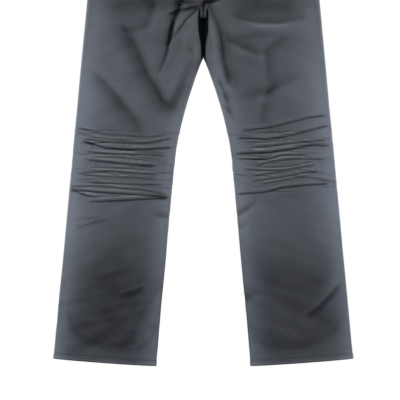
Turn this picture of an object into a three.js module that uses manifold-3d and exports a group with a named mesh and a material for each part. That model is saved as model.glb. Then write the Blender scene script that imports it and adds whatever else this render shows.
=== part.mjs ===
// Straight-leg five-pocket trousers in coated twill, hanging open from the waist edge.
// Millimetres, +Z up, front faces -Y, the wearer's left leg is on +X.
// Origin: centre of the waist opening, level with the top edge of the waistband.
import * as THREE from 'three';
import { mergeVertices } from 'three/addons/utils/BufferGeometryUtils.js';
import Module from 'manifold-3d';

const wasm = await Module();
wasm.setup();

// ---- Driving dimensions -------------------------------------------------------------
// lengths down the garment
const RISE = 270; // waist edge to crotch point
const INSEAM = 813; // crotch point to the hem, at the middle of the leg
const KNEE_DROP = 354; // crotch point to the knee line
const KNEE_ZONE = 180; // length of creased cloth that bends at the knee
const HIP_LINE = 190; // waist edge to the hip hinge line
const LAP_LENGTH = 210; // cloth below the hip line that folds when the leg swings
// widths, measured across the flat garment from its centre line
const WAIST_HALF = 214;
const HIP_SPRING = 26; // how far the hips stand out past the waist
const SPLAY = 0.0932; // outward lean of the outer leg edge
const LEG_WIDTH = 234; // flat width of the leg from knee to hem
const THIGH_EXTRA = 88; // extra flat width at the top of the thigh
const THIGH_TAPER = 1.7; // how fast that extra width runs out towards the knee
const THIGH_GAP = 4; // each thigh edge to the centre line where the legs meet
const HEM_TILT = 0.073; // rise of the hem line towards the outer edge
// half depths, front and back
const WAIST_DEPTH = 38;
const BELLY_DEPTH = 46;
const SEAT_DEPTH = 62;
const THIGH_FRONT_DEPTH = 40;
const THIGH_BACK_DEPTH = 46;
const KNEE_DEPTH = 30;
const HEM_DEPTH = 25;
// cloth
const CLOTH = 2; // panel wall
const SEAM_GAP = 0.8; // between two panels at a seam
const PLY_GAP = 0.4; // between two plies that lie on each other
const HEM_HEIGHT = 13;
// waistband
const BAND_HEIGHT = 38;
const BAND_WALL = 3.2;
const BAND_PROUD = 0.8; // how far the band stands out past the panels
const BAND_OVERLAP = 36; // left end over right end at the fly
const BAND_END_RAMP = 14;
// belt loops
const LOOP_WIDTH = 11;
const LOOP_WALL = 1.6;
const LOOP_ROOM = 7; // room for the belt
const LOOP_FOOT = 5;
const LOOP_TAIL = 10; // how far the loops run on below the band
const LOOP_TO_MOUTH = 8; // front loops stand this far in from the pocket mouths
const REAR_LOOP_SHY = 72; // rear loops stand this far in from the side seams
// button
const BUTTON_RADIUS = 8.5;
const BUTTON_DOME = 3.4;
const SHANK_RADIUS = 3.6;
const STEM_RADIUS = 1.9;
const STEM_PLAY = 0.4;
const TACK_RADIUS = 5;
const TACK_WALL = 1;
const BUTTON_X = -4;
const BUTTONHOLE_LENGTH = 21;
// fly and zip
const FLY_LENGTH = 138;
const FLY_CLEAR = 20; // straight front left below the fly
const SHIELD_LEFT = 22; // the shield's reach to each side of the zip
const SHIELD_RIGHT = 26;
const FACING_WIDTH = 34;
const FACING_WALL = 1.4;
const TAPE_WIDTH = 15;
const TAPE_WALL = 0.8;
const TOOTH_PITCH = 4;
const TOOTH_REACH = 2.4;
const TOOTH_WALL = 2.2;
const CHAIN_BEAD = 1.4; // rib that carries the teeth
const SLIDER_LENGTH = 12;
const SLIDER_WIDTH = 11;
const SLIDER_PLATE = 1;
const WEDGE_SHY = 3.6; // from the slider's side to the wedge that joins its plates
const PULL_LENGTH = 22;
const PULL_WIDTH = 6;
const PULL_WALL = 1.2;
const PULL_ROOM = 4.4; // free space in front of the pull tab
const EAR_WALL = 1; // lugs beside the head of the pull tab
const EAR_HEIGHT = 3;
const STOP_HEIGHT = 4;
// pockets
const SCOOP_WIDTH = 104; // pocket mouth along the waistband, from the side seam
const SCOOP_DEPTH = 88; // pocket mouth down the side seam
const POCKET_FACING_DROP = 104;
const BAG_BOTTOM = 186; // waist edge to the bottom of the front pocket bags
const BAG_ROOM = 3;
const POCKET_SHY = 1; // room between the panel, the facing and the bag
const BACK_POCKET_WIDTH = 142;
const BACK_POCKET_HEIGHT = 146;
const BACK_POCKET_POINT = 22;
const POCKET_TO_YOKE = 22; // yoke seam, at its middle, to the mouth of the back pockets
const BACK_POCKET_ROOM = 3;
const YOKE_CENTRE = 66; // height of the yoke below the band, at centre back
const YOKE_SIDE = 40; // and at the side seam

// ---- Derived levels -----------------------------------------------------------------
const CROTCH_Z = -RISE;
const CURVE_Z = -(BAND_HEIGHT + FLY_LENGTH + FLY_CLEAR); // where the centre seam starts to curve under
const BELLY_Z = CURVE_Z - 4; // fullest level, front and back
const LAP_Z = -(HIP_LINE + LAP_LENGTH);
const KNEE_Z = CROTCH_Z - KNEE_DROP;
const KNEE_TOP_Z = KNEE_Z + KNEE_ZONE / 2;
const KNEE_END_Z = KNEE_Z - KNEE_ZONE / 2;
const HEM_Z = CROTCH_Z - INSEAM;
const CUT = 0.4; // gap left where one panel is divided at a bend

// ---- Materials ----------------------------------------------------------------------
const cloth = new THREE.MeshStandardMaterial({ color: 0x4d5258, roughness: 0.55 });
const lining = new THREE.MeshStandardMaterial({ color: 0x2b2d31, roughness: 0.9 });
const brass = new THREE.MeshStandardMaterial({ color: 0x8a7a5a, roughness: 0.35, metalness: 1 });

const trousers = new THREE.Group();

function addMesh(name, geometry, material, group = trousers) {
  const mesh = new THREE.Mesh(geometry, material);
  mesh.name = name;
  group.add(mesh);
  return mesh;
}

// ---- Solids -------------------------------------------------------------------------
/** The same shape with its shared corners merged, so that only position is left. */
function merged(geometry) {
  const plain = geometry.clone();
  plain.deleteAttribute('normal');
  plain.deleteAttribute('uv');
  return mergeVertices(plain, 1e-4);
}

function toManifold(geometry) {
  const plain = merged(geometry);
  const mesh = new wasm.Mesh({
    numProp: 3,
    vertProperties: Float32Array.from(plain.attributes.position.array),
    triVerts: Uint32Array.from(plain.index.array),
  });
  return new wasm.Manifold(mesh);
}

function toGeometry(manifold) {
  const mesh = manifold.getMesh();
  const geometry = new THREE.BufferGeometry();
  geometry.setAttribute('position', new THREE.BufferAttribute(mesh.vertProperties, 3));
  geometry.setIndex(new THREE.BufferAttribute(mesh.triVerts, 1));
  geometry.computeVertexNormals();
  return geometry;
}

function extrude(outline, depth, curveSegments = 6) {
  return new THREE.ExtrudeGeometry(outline, { depth, bevelEnabled: false, curveSegments });
}

function cut(geometry, ...tools) {
  let solid = toManifold(geometry);
  for (const tool of tools) solid = solid.subtract(toManifold(tool));
  return toGeometry(solid);
}

function join(geometry, ...others) {
  let solid = toManifold(geometry);
  for (const other of others) solid = solid.add(toManifold(other));
  return toGeometry(solid);
}

/** Closed solid between two grids of points; wrap joins the last column to the first. */
function solidFromGrids(outer, inner, wrap = false) {
  const rows = outer.length;
  const cols = outer[0].length;
  const positions = [...outer.flat(), ...inner.flat()].flatMap((p) => [p.x, p.y, p.z]);
  const index = [];
  const at = (skin, r, c) => skin * rows * cols + r * cols + (c % cols);
  const quad = (a, b, c, d) => index.push(a, b, c, a, c, d);
  const spans = wrap ? cols : cols - 1;
  for (let r = 0; r < rows - 1; r++) {
    for (let c = 0; c < spans; c++) {
      quad(at(0, r, c), at(0, r + 1, c), at(0, r + 1, c + 1), at(0, r, c + 1));
      quad(at(1, r, c), at(1, r, c + 1), at(1, r + 1, c + 1), at(1, r + 1, c));
    }
    if (!wrap) {
      quad(at(0, r, 0), at(1, r, 0), at(1, r + 1, 0), at(0, r + 1, 0));
      const last = cols - 1;
      quad(at(0, r, last), at(0, r + 1, last), at(1, r + 1, last), at(1, r, last));
    }
  }
  for (let c = 0; c < spans; c++) {
    quad(at(0, 0, c), at(0, 0, c + 1), at(1, 0, c + 1), at(1, 0, c));
    const foot = rows - 1;
    quad(at(0, foot, c), at(1, foot, c), at(1, foot, c + 1), at(0, foot, c + 1));
  }
  const geometry = new THREE.BufferGeometry();
  geometry.setAttribute('position', new THREE.Float32BufferAttribute(positions, 3));
  geometry.setIndex(index);
  geometry.computeVertexNormals();
  return geometry;
}

/** Turns a closed mesh the right way out after it has been mirrored or built inside out. */
function outward(geometry) {
  const p = geometry.attributes.position;
  const index = geometry.index.array;
  const a = new THREE.Vector3();
  const b = new THREE.Vector3();
  const c = new THREE.Vector3();
  let volume = 0;
  for (let i = 0; i < index.length; i += 3) {
    a.fromBufferAttribute(p, index[i]);
    b.fromBufferAttribute(p, index[i + 1]);
    c.fromBufferAttribute(p, index[i + 2]);
    volume += a.dot(b.cross(c));
  }
  if (volume < 0) {
    for (let i = 0; i < index.length; i += 3) {
      [index[i], index[i + 1]] = [index[i + 1], index[i]];
    }
    geometry.computeVertexNormals();
  }
  return geometry;
}

// ---- The garment's skin -------------------------------------------------------------
const clamp01 = (t) => Math.min(1, Math.max(0, t));
const ease = (t) => clamp01(t) ** 2 * (3 - 2 * clamp01(t));
const mix = (a, b, t) => a + (b - a) * t;
const part = (z, from, to) => clamp01((z - from) / (to - from));

function outerX(z) {
  const s = clamp01(-z / RISE);
  return WAIST_HALF + HIP_SPRING * (1 - (1 - s) ** 2) - SPLAY * z;
}

function innerX(z) {
  if (z > CROTCH_Z) return CUT / 2;
  const run = clamp01((CROTCH_Z - z) / KNEE_DROP);
  const width = LEG_WIDTH + THIGH_EXTRA * (1 - run) ** THIGH_TAPER;
  const closed = mix(CUT / 2, THIGH_GAP, part(z, CROTCH_Z, CROTCH_Z - 4 * THIGH_GAP));
  return Math.max(outerX(z) - width, closed);
}

function halfDepth(face, z) {
  const front = face === 'front';
  const seat = front ? BELLY_DEPTH : SEAT_DEPTH;
  const thigh = front ? THIGH_FRONT_DEPTH : THIGH_BACK_DEPTH;
  if (z > BELLY_Z) {
    const t = part(z, 0, BELLY_Z);
    return mix(WAIST_DEPTH, seat, front ? t : ease(t));
  }
  if (z > LAP_Z) return mix(seat, thigh, ease(part(z, BELLY_Z, LAP_Z)));
  if (z > KNEE_Z) return mix(thigh, KNEE_DEPTH, ease(part(z, LAP_Z, KNEE_Z)));
  return mix(KNEE_DEPTH, HEM_DEPTH, part(z, KNEE_Z, HEM_Z));
}

/** Sine of the angle at which a section's inner edge stands: 0 at centre front, -1 at the inseam. */
function innerSine(z) {
  return -part(z, CURVE_Z, CROTCH_Z);
}

/** Height change that tilts the hem square to the leg; it fades out at the knee. */
function hemShift(x, z) {
  const middle = (innerX(z) + outerX(z)) / 2;
  return HEM_TILT * (x - middle) * part(z, KNEE_END_Z, HEM_Z);
}

/**
 * Point on the left half of the garment. f runs from the inner edge (0) to the side seam (1),
 * and off moves the point out of the cloth's face (+) or into the garment (-).
 */
function skin(face, z, f, off = 0) {
  const depth = halfDepth(face, z);
  const shy = Math.asin(Math.min(1, SEAM_GAP / 2 / depth));
  const limit = Math.PI / 2 - shy;
  const first = Math.max(Math.asin(innerSine(z)), -limit);
  const angle = mix(first, limit, f);
  const low = innerX(z);
  const reach = (outerX(z) - low) / (1 - Math.sin(first));
  const x = low + reach * (Math.sin(angle) - Math.sin(first));
  const y = depth * Math.cos(angle);
  const normal = new THREE.Vector2(Math.sin(angle) / reach, Math.cos(angle) / depth).normalize();
  const facing = face === 'front' ? -1 : 1;
  const point = new THREE.Vector3(x + normal.x * off, facing * (y + normal.y * off), z);
  point.z += hemShift(x, z);
  return point;
}

/** Fraction f at which the section at height z stands at the given x. */
function fractionAt(face, z, x) {
  const depth = halfDepth(face, z);
  const limit = Math.PI / 2 - Math.asin(Math.min(1, SEAM_GAP / 2 / depth));
  const first = Math.max(Math.asin(innerSine(z)), -limit);
  const low = innerX(z);
  const reach = (outerX(z) - low) / (1 - Math.sin(first));
  const angle = Math.asin(clamp01((x - low) / reach + Math.sin(first)));
  return (angle - first) / (limit - first);
}

/** Cloth solid over a patch; where(u, v) gives [z, f], u across and v down. */
function patch(face, where, rows, cols, out, wall) {
  const grid = (off) =>
    Array.from({ length: rows + 1 }, (_, r) =>
      Array.from({ length: cols + 1 }, (_, c) => skin(face, ...where(c / cols, r / rows), off)),
    );
  return outward(solidFromGrids(grid(out), grid(out - wall)));
}

function mirrored(geometry) {
  return outward(geometry.clone().scale(-1, 1, 1));
}

/** Adds a left piece and its mirror image as the right piece. */
function addPair(name, geometry, material) {
  addMesh(`${name}_left`, geometry, material);
  addMesh(`${name}_right`, mirrored(geometry), material);
}

/** Panel between two levels, over the full width of the leg or half torso. */
function panel(face, top, bottom, rows, cols = 12) {
  return patch(face, (u, v) => [mix(top, bottom, v), u], rows, cols, 0, CLOTH);
}

// ---- Leg and seat panels ------------------------------------------------------------
const bandFoot = -BAND_HEIGHT - PLY_GAP;

/** Prism along Y through the whole garment, from an outline in X and Z. */
function prismAlongY(outline, reach = 160) {
  return extrude(outline, reach, 10).rotateX(Math.PI / 2);
}

function scoopOutline() {
  const outline = new THREE.Shape();
  const sideX = outerX(bandFoot) + 20;
  outline.moveTo(sideX, 0);
  outline.lineTo(outerX(bandFoot) - SCOOP_WIDTH, 0);
  outline.lineTo(outerX(bandFoot) - SCOOP_WIDTH, bandFoot);
  outline.quadraticCurveTo(
    outerX(bandFoot) - SCOOP_WIDTH * 0.72,
    bandFoot - SCOOP_DEPTH * 0.86,
    sideX,
    bandFoot - SCOOP_DEPTH,
  );
  outline.closePath();
  return outline;
}

function buildFrontTop() {
  const whole = panel('front', bandFoot, -HIP_LINE, 4, 10);
  return cut(whole, prismAlongY(scoopOutline()));
}

function yokeEdge(u) {
  return -BAND_HEIGHT - mix(YOKE_CENTRE, YOKE_SIDE, u);
}

function buildYoke() {
  return patch('back', (u, v) => [mix(bandFoot, yokeEdge(u) + CUT, v), u], 2, 8, 0, CLOTH);
}

function buildSeat() {
  return patch('back', (u, v) => [mix(yokeEdge(u), LAP_Z, v), u], 12, 12, 0, CLOTH);
}

function buildHem() {
  const grid = (off) => {
    const levels = [HEM_Z + HEM_HEIGHT, HEM_Z + CUT];
    return levels.map((z) => {
      const front = Array.from({ length: 11 }, (_, c) => skin('front', z, c / 10, off));
      const back = Array.from({ length: 11 }, (_, c) => skin('back', z, 1 - c / 10, off));
      return [...front, ...back];
    });
  };
  const face = -CLOTH - PLY_GAP;
  return outward(solidFromGrids(grid(face), grid(face - CLOTH), true));
}

addPair('front_panel_top', buildFrontTop(), cloth);
addPair('front_panel_lap', panel('front', -HIP_LINE - CUT, LAP_Z, 7), cloth);
addPair('front_panel_thigh', panel('front', LAP_Z - CUT, KNEE_TOP_Z, 3), cloth);
addPair('front_panel_knee', panel('front', KNEE_TOP_Z - CUT, KNEE_END_Z, 3), cloth);
addPair('front_panel_shin', panel('front', KNEE_END_Z - CUT, HEM_Z, 4), cloth);
addPair('back_yoke', buildYoke(), cloth);
addPair('back_panel_seat', buildSeat(), cloth);
addPair('back_panel_thigh', panel('back', LAP_Z - CUT, KNEE_TOP_Z, 3), cloth);
addPair('back_panel_knee', panel('back', KNEE_TOP_Z - CUT, KNEE_END_Z, 3), cloth);
addPair('back_panel_shin', panel('back', KNEE_END_Z - CUT, HEM_Z, 4), cloth);
addPair('hem_turnup', buildHem(), cloth);

// ---- Waistband ----------------------------------------------------------------------
/** Point on the band: turn is the angle from centre front towards the wearer's left. */
function bandPoint(turn, z, off) {
  const across = outerX(z);
  const depth = halfDepth(Math.cos(turn) > 0 ? 'front' : 'back', z);
  const normal = new THREE.Vector2(Math.sin(turn) / across, -Math.cos(turn) / depth).normalize();
  return new THREE.Vector3(
    across * Math.sin(turn) + normal.x * off,
    -depth * Math.cos(turn) + normal.y * off,
    z,
  );
}

function buildBand() {
  const endTurn = Math.asin(BAND_OVERLAP / 2 / WAIST_HALF);
  const rampTurn = Math.asin((BAND_OVERLAP / 2 + BAND_END_RAMP) / WAIST_HALF);
  const turns = [-endTurn, 0, endTurn + 0.005, rampTurn];
  const steps = 44;
  for (let i = 1; i < steps; i++) turns.push(mix(rampTurn, 2 * Math.PI - rampTurn, i / steps));
  turns.push(2 * Math.PI - rampTurn, 2 * Math.PI, 2 * Math.PI + endTurn);
  const lift = (turn) => (BAND_WALL + PLY_GAP) * (1 - part(turn, endTurn + 0.005, rampTurn));
  const grid = (off) =>
    [0, -BAND_HEIGHT].map((z) => turns.map((turn) => bandPoint(turn, z, off + lift(turn))));
  const ring = outward(solidFromGrids(grid(BAND_PROUD), grid(BAND_PROUD - BAND_WALL)));
  const holeRadius = SHANK_RADIUS + 2 * STEM_PLAY;
  const slot = new THREE.Shape();
  const end = BUTTON_X + BUTTONHOLE_LENGTH - 2 * holeRadius;
  slot.absarc(BUTTON_X, 0, holeRadius, Math.PI / 2, (3 * Math.PI) / 2, false);
  slot.absarc(end, 0, holeRadius, -Math.PI / 2, Math.PI / 2, false);
  slot.closePath();
  const frontFace = -WAIST_DEPTH - BAND_PROUD - PLY_GAP / 2;
  const slotTool = extrude(slot, 4 * BAND_WALL).rotateX(Math.PI / 2);
  slotTool.translate(0, bandFrontY(buttonZ) - PLY_GAP / 2, buttonZ);
  const bore = STEM_RADIUS + STEM_PLAY;
  const stemTool = new THREE.CylinderGeometry(bore, bore, 8 * BAND_WALL, 12);
  stemTool.translate(BUTTON_X, frontFace, buttonZ);
  return cut(ring, slotTool, stemTool);
}

const buttonZ = -BAND_HEIGHT / 2;

/** Y of the outer face of the band's right end, under the buttonhole tab. */
function bandFrontY(z) {
  return -halfDepth('front', z) - BAND_PROUD;
}

addMesh('waistband', buildBand(), cloth);

// ---- Belt loops ---------------------------------------------------------------------
function buildLoop(face) {
  const top = -1;
  const bottom = -BAND_HEIGHT - LOOP_TAIL;
  const near = BAND_PROUD + PLY_GAP;
  const flare = halfDepth(face, bottom) - halfDepth(face, -BAND_HEIGHT);
  const nearFoot = Math.max(near, flare + 2 * PLY_GAP);
  const far = near + LOOP_ROOM;
  const outline = new THREE.Shape();
  outline.moveTo(near, top);
  outline.lineTo(far, top);
  outline.quadraticCurveTo(far + LOOP_WALL, top, far + LOOP_WALL, top - LOOP_FOOT);
  outline.lineTo(far + LOOP_WALL, bottom + LOOP_FOOT);
  outline.quadraticCurveTo(far + LOOP_WALL, bottom, far, bottom);
  outline.lineTo(nearFoot, bottom);
  outline.lineTo(nearFoot, bottom + LOOP_WALL);
  outline.lineTo(far, bottom + LOOP_WALL + 1);
  outline.lineTo(far, top - LOOP_WALL - 1);
  outline.lineTo(near, top - LOOP_WALL);
  outline.closePath();
  // outline X points out of the garment, outline Y is up
  return extrude(outline, LOOP_WIDTH, 3).translate(0, 0, -LOOP_WIDTH / 2).rotateX(Math.PI / 2);
}

function addLoop(name, turn) {
  const face = Math.cos(turn) > 0 ? 'front' : 'back';
  const mesh = addMesh(name, buildLoop(face), cloth);
  const foot = bandPoint(turn, -BAND_HEIGHT, 0);
  const out = bandPoint(turn, -BAND_HEIGHT, 1).sub(foot);
  mesh.rotation.z = Math.atan2(out.y, out.x);
  mesh.position.set(foot.x, foot.y, 0);
}

const frontLoopX = outerX(bandFoot) - SCOOP_WIDTH - LOOP_TO_MOUTH;
const frontTurn = Math.asin(frontLoopX / WAIST_HALF);
const rearTurn = Math.PI - Math.asin((WAIST_HALF - REAR_LOOP_SHY) / WAIST_HALF);
addLoop('belt_loop_front_left', frontTurn);
addLoop('belt_loop_front_right', -frontTurn);
addLoop('belt_loop_rear_left', rearTurn);
addLoop('belt_loop_rear_right', -rearTurn);
addLoop('belt_loop_centre_back', Math.PI);

// ---- Button -------------------------------------------------------------------------
const tabFace = BAND_WALL + PLY_GAP; // outer face of the tab, from the right end's face
const buttonGroup = new THREE.Group();
buttonGroup.position.set(BUTTON_X, bandFrontY(buttonZ), buttonZ);
buttonGroup.rotation.x = Math.PI; // local +Y points out of the front
trousers.add(buttonGroup);

function lathe(points, segments) {
  return new THREE.LatheGeometry(points.map(([r, h]) => new THREE.Vector2(r, h)), segments);
}

function buildCap() {
  const bore = STEM_RADIUS + STEM_PLAY;
  const foot = PLY_GAP;
  const under = tabFace + 2 * PLY_GAP;
  const roof = under + BUTTON_DOME;
  return lathe(
    [
      [bore, foot],
      [SHANK_RADIUS, foot],
      [SHANK_RADIUS, under],
      [BUTTON_RADIUS - 1, under],
      [BUTTON_RADIUS, under + 0.8],
      [BUTTON_RADIUS - 0.6, under + 2],
      [BUTTON_RADIUS * 0.6, roof - 0.4],
      [0, roof],
      [0, roof - 1.6],
      [bore, roof - 1.6],
      [bore, foot],
    ],
    20,
  );
}

function buildTack() {
  const inside = -BAND_WALL - PLY_GAP;
  const tip = tabFace + BUTTON_DOME - 1.6;
  return lathe(
    [
      [0, inside - TACK_WALL],
      [TACK_RADIUS, inside - TACK_WALL],
      [TACK_RADIUS, inside],
      [STEM_RADIUS, inside],
      [STEM_RADIUS, tip],
      [0, tip],
    ],
    16,
  );
}

addMesh('button_cap', buildCap(), brass, buttonGroup);
addMesh('button_tack', buildTack(), brass, buttonGroup);

// ---- Fly and zip --------------------------------------------------------------------
// The fly lies in a flat plane that leans with the front of the garment. In this group
// X is across, Y points into the garment from the panels' inner face, Z is up the fly.
const flyLean = Math.atan2(BELLY_DEPTH - WAIST_DEPTH, -BELLY_Z);
const fly = new THREE.Group();
fly.position.set(0, -halfDepth('front', bandFoot) + CLOTH, bandFoot);
fly.rotation.x = -flyLean;
trousers.add(fly);

function flyBox(x0, x1, y0, y1, z0, z1) {
  const geometry = new THREE.BoxGeometry(x1 - x0, y1 - y0, z1 - z0);
  return geometry.translate((x0 + x1) / 2, (y0 + y1) / 2, (z0 + z1) / 2);
}

// depths into the garment, from the panels' inner face
const pullFace = PULL_ROOM;
const topPlate = pullFace + PULL_WALL + PLY_GAP;
const toothFace = topPlate + SLIDER_PLATE + PLY_GAP;
const tapeFace = toothFace + (TOOTH_WALL - TAPE_WALL) / 2;
const lowPlate = toothFace + TOOTH_WALL + PLY_GAP;
const shieldFace = lowPlate + SLIDER_PLATE + 2 * PLY_GAP;
const chainTop = -SLIDER_LENGTH + 4;
const chainFoot = -FLY_LENGTH + STOP_HEIGHT + 2;
const chainEdge = TOOTH_REACH / 2 + 0.3 + CHAIN_BEAD; // outer edge of a tooth row, from the middle

/** Rib with a row of teeth; phase shifts the row by half a pitch so that two rows mesh. */
function buildTeeth(phase) {
  const rib = TOOTH_REACH / 2 + 0.3;
  const outline = new THREE.Shape();
  const count = Math.floor((chainTop - chainFoot) / TOOTH_PITCH) - 1;
  outline.moveTo(rib, chainFoot);
  for (let i = 0; i < count; i++) {
    const base = chainFoot + 0.6 + (i + phase) * TOOTH_PITCH;
    outline.lineTo(rib, base);
    outline.lineTo(rib - TOOTH_REACH, base + 0.2);
    outline.lineTo(rib - TOOTH_REACH, base + TOOTH_PITCH / 2 - 0.9);
    outline.lineTo(rib, base + TOOTH_PITCH / 2 - 0.7);
  }
  outline.lineTo(rib, chainTop);
  outline.lineTo(rib + CHAIN_BEAD, chainTop);
  outline.lineTo(rib + CHAIN_BEAD, chainFoot);
  outline.closePath();
  return extrude(outline, TOOTH_WALL).rotateX(Math.PI / 2).translate(0, toothFace + TOOTH_WALL, 0);
}

function buildTape() {
  const edge = chainEdge + PLY_GAP;
  return flyBox(edge, edge + TAPE_WIDTH, tapeFace, tapeFace + TAPE_WALL, -FLY_LENGTH, -1);
}

/** Two copies of a box, mirrored about the zip's middle, from side start to side end. */
function bothSides(start, end, y0, y1, z0, z1) {
  return [flyBox(start, end, y0, y1, z0, z1), flyBox(-end, -start, y0, y1, z0, z1)];
}

/** Two plates joined by a wedge at the head, with a channel for the teeth and slots for the tapes. */
function buildSlider() {
  const half = SLIDER_WIDTH / 2;
  const foot = -SLIDER_LENGTH - 1;
  const roof = topPlate + SLIDER_PLATE;
  const body = flyBox(-half, half, topPlate, lowPlate + SLIDER_PLATE, -SLIDER_LENGTH, 0);
  const channel = flyBox(1 - half, half - 1, roof, lowPlate, foot, chainTop + PLY_GAP);
  const slotLow = tapeFace - PLY_GAP;
  const slotHigh = tapeFace + TAPE_WALL + PLY_GAP;
  const slots = bothSides(chainEdge - PLY_GAP, half + 1, slotLow, slotHigh, foot, 1);
  const throats = bothSides(half - WEDGE_SHY, half - 0.4, roof, lowPlate, -4, 1);
  const ear = PULL_WIDTH / 2 + PLY_GAP;
  const ears = bothSides(ear, ear + EAR_WALL, pullFace, topPlate + SLIDER_PLATE / 2, -EAR_HEIGHT - 1, -1);
  return join(cut(body, channel, ...slots, ...throats), ...ears);
}

function buildPull() {
  const half = PULL_WIDTH / 2;
  const outline = new THREE.Shape();
  outline.moveTo(-half, 0);
  outline.lineTo(-half, -PULL_LENGTH + half);
  outline.absarc(0, -PULL_LENGTH + half, half, Math.PI, 2 * Math.PI, false);
  outline.lineTo(half, 0);
  outline.closePath();
  const eye = new THREE.Path();
  eye.absarc(0, -PULL_LENGTH + half, half - 1.4, 0, 2 * Math.PI, true);
  outline.holes.push(eye);
  return extrude(outline, PULL_WALL, 8).rotateX(Math.PI / 2).translate(0, pullFace + PULL_WALL, -2);
}

function buildStop() {
  const foot = -FLY_LENGTH;
  return flyBox(-chainEdge, chainEdge, toothFace, toothFace + TOOTH_WALL, foot, foot + STOP_HEIGHT);
}

function buildFacing() {
  const start = SLIDER_WIDTH / 2 + 2;
  const outline = new THREE.Shape();
  outline.moveTo(start, 0);
  outline.lineTo(start + FACING_WIDTH, 0);
  outline.lineTo(start + FACING_WIDTH, -FLY_LENGTH + FACING_WIDTH);
  outline.quadraticCurveTo(start + FACING_WIDTH, -FLY_LENGTH, start, -FLY_LENGTH);
  outline.closePath();
  const face = 3 * PLY_GAP;
  return extrude(outline, FACING_WALL, 8).rotateX(Math.PI / 2).translate(0, face + FACING_WALL, -1);
}

addMesh('fly_facing', buildFacing(), cloth, fly);
const shield = flyBox(-SHIELD_RIGHT, SHIELD_LEFT, shieldFace, shieldFace + CLOTH, -FLY_LENGTH - 4, -1);
addMesh('fly_shield', shield, cloth, fly);
addMesh('zip_tape_left', buildTape(), lining, fly);
addMesh('zip_tape_right', mirrored(buildTape()), lining, fly);
addMesh('zip_teeth_left', merged(buildTeeth(0)), brass, fly);
addMesh('zip_teeth_right', mirrored(merged(buildTeeth(0.5))), brass, fly);
addMesh('zip_bottom_stop', buildStop(), brass, fly);
addMesh('zip_slider', buildSlider(), brass, fly);
addMesh('zip_pull', buildPull(), brass, fly);

// ---- Front pockets ------------------------------------------------------------------
function buildPocketFacing() {
  const start = (z) => fractionAt('front', z, outerX(bandFoot) - SCOOP_WIDTH - 14);
  const where = (u, v) => {
    const z = mix(bandFoot, -BAND_HEIGHT - POCKET_FACING_DROP, v);
    return [z, mix(start(z), 0.985, u)];
  };
  return patch('front', where, 6, 8, -CLOTH - POCKET_SHY, FACING_WALL);
}

/** Pouch of two plies joined round its sides and foot, open at the waistband. */
function buildPocketBag() {
  const inner = outerX(bandFoot) - SCOOP_WIDTH - 30;
  const face = -CLOTH - FACING_WALL - 2 * POCKET_SHY;
  const wall = 1;
  const region = (rim, top) => (u, v) => {
    const z = mix(top, -BAG_BOTTOM + rim, v);
    return [z, mix(fractionAt('front', z, inner + rim), 0.93 - rim / 200, u)];
  };
  const pouch = patch('front', region(0, bandFoot), 4, 6, face, BAG_ROOM + 2 * wall);
  const hollow = patch('front', region(wall * 4, bandFoot + 10), 4, 6, face - wall, BAG_ROOM);
  return cut(pouch, hollow);
}

addPair('pocket_facing', buildPocketFacing(), cloth);
addPair('pocket_bag', buildPocketBag(), lining);

// ---- Back pockets -------------------------------------------------------------------
/** Patch pocket: one ply standing off the seat, turned in along its sides and foot. */
function buildBackPocket() {
  const mouth = -BAND_HEIGHT - (YOKE_CENTRE + YOKE_SIDE) / 2 - POCKET_TO_YOKE;
  const middle = (innerX(mouth) + outerX(mouth)) / 2;
  const face = POCKET_SHY + BACK_POCKET_ROOM;
  const wall = 1.4;
  const region = (rim, lift) => (u, v) => {
    const half = BACK_POCKET_WIDTH / 2 - rim - 8 * v;
    const x = middle + (2 * u - 1) * half;
    const point = BACK_POCKET_POINT * (1 - Math.abs(2 * u - 1));
    const foot = mouth - BACK_POCKET_HEIGHT + BACK_POCKET_POINT - point + rim;
    const z = mix(mouth + lift, foot, v);
    return [z, fractionAt('back', z, x)];
  };
  const block = patch('back', region(0, 0), 6, 8, face + wall, face + wall - POCKET_SHY);
  const hollow = patch('back', region(5, 10), 6, 8, face, face + 6);
  return cut(block, hollow);
}

addPair('back_pocket', buildBackPocket(), cloth);

export default trousers;
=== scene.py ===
"""Straight-leg trousers in dark coated satin twill, hanging by the waistband, front to -Y.

Metres, +Z up. The wearer's left leg is on +X. Every cloth piece is a closed skin laid over the
garment's form: soft folds, knee creases and seams are added to that form as relief.
"""
import math

import bmesh
import bpy
import numpy as np
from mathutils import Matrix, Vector


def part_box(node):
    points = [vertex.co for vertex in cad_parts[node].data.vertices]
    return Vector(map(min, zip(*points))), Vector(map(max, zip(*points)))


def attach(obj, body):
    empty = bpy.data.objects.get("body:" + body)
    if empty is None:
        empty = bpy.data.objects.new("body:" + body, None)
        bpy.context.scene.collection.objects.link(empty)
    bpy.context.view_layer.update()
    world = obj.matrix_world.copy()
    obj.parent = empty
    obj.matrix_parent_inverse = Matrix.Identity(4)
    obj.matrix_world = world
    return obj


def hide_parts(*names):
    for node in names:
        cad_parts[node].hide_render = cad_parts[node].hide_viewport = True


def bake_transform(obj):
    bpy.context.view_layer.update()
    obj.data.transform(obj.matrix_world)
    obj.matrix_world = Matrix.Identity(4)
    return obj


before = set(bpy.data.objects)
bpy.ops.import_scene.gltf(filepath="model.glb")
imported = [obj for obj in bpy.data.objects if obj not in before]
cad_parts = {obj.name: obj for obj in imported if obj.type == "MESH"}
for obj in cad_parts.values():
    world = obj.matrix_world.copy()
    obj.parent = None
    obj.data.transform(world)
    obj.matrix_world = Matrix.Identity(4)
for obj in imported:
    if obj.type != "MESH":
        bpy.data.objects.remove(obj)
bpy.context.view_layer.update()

SCENE = bpy.context.scene
SCENE.view_settings.view_transform = "Standard"

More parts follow.
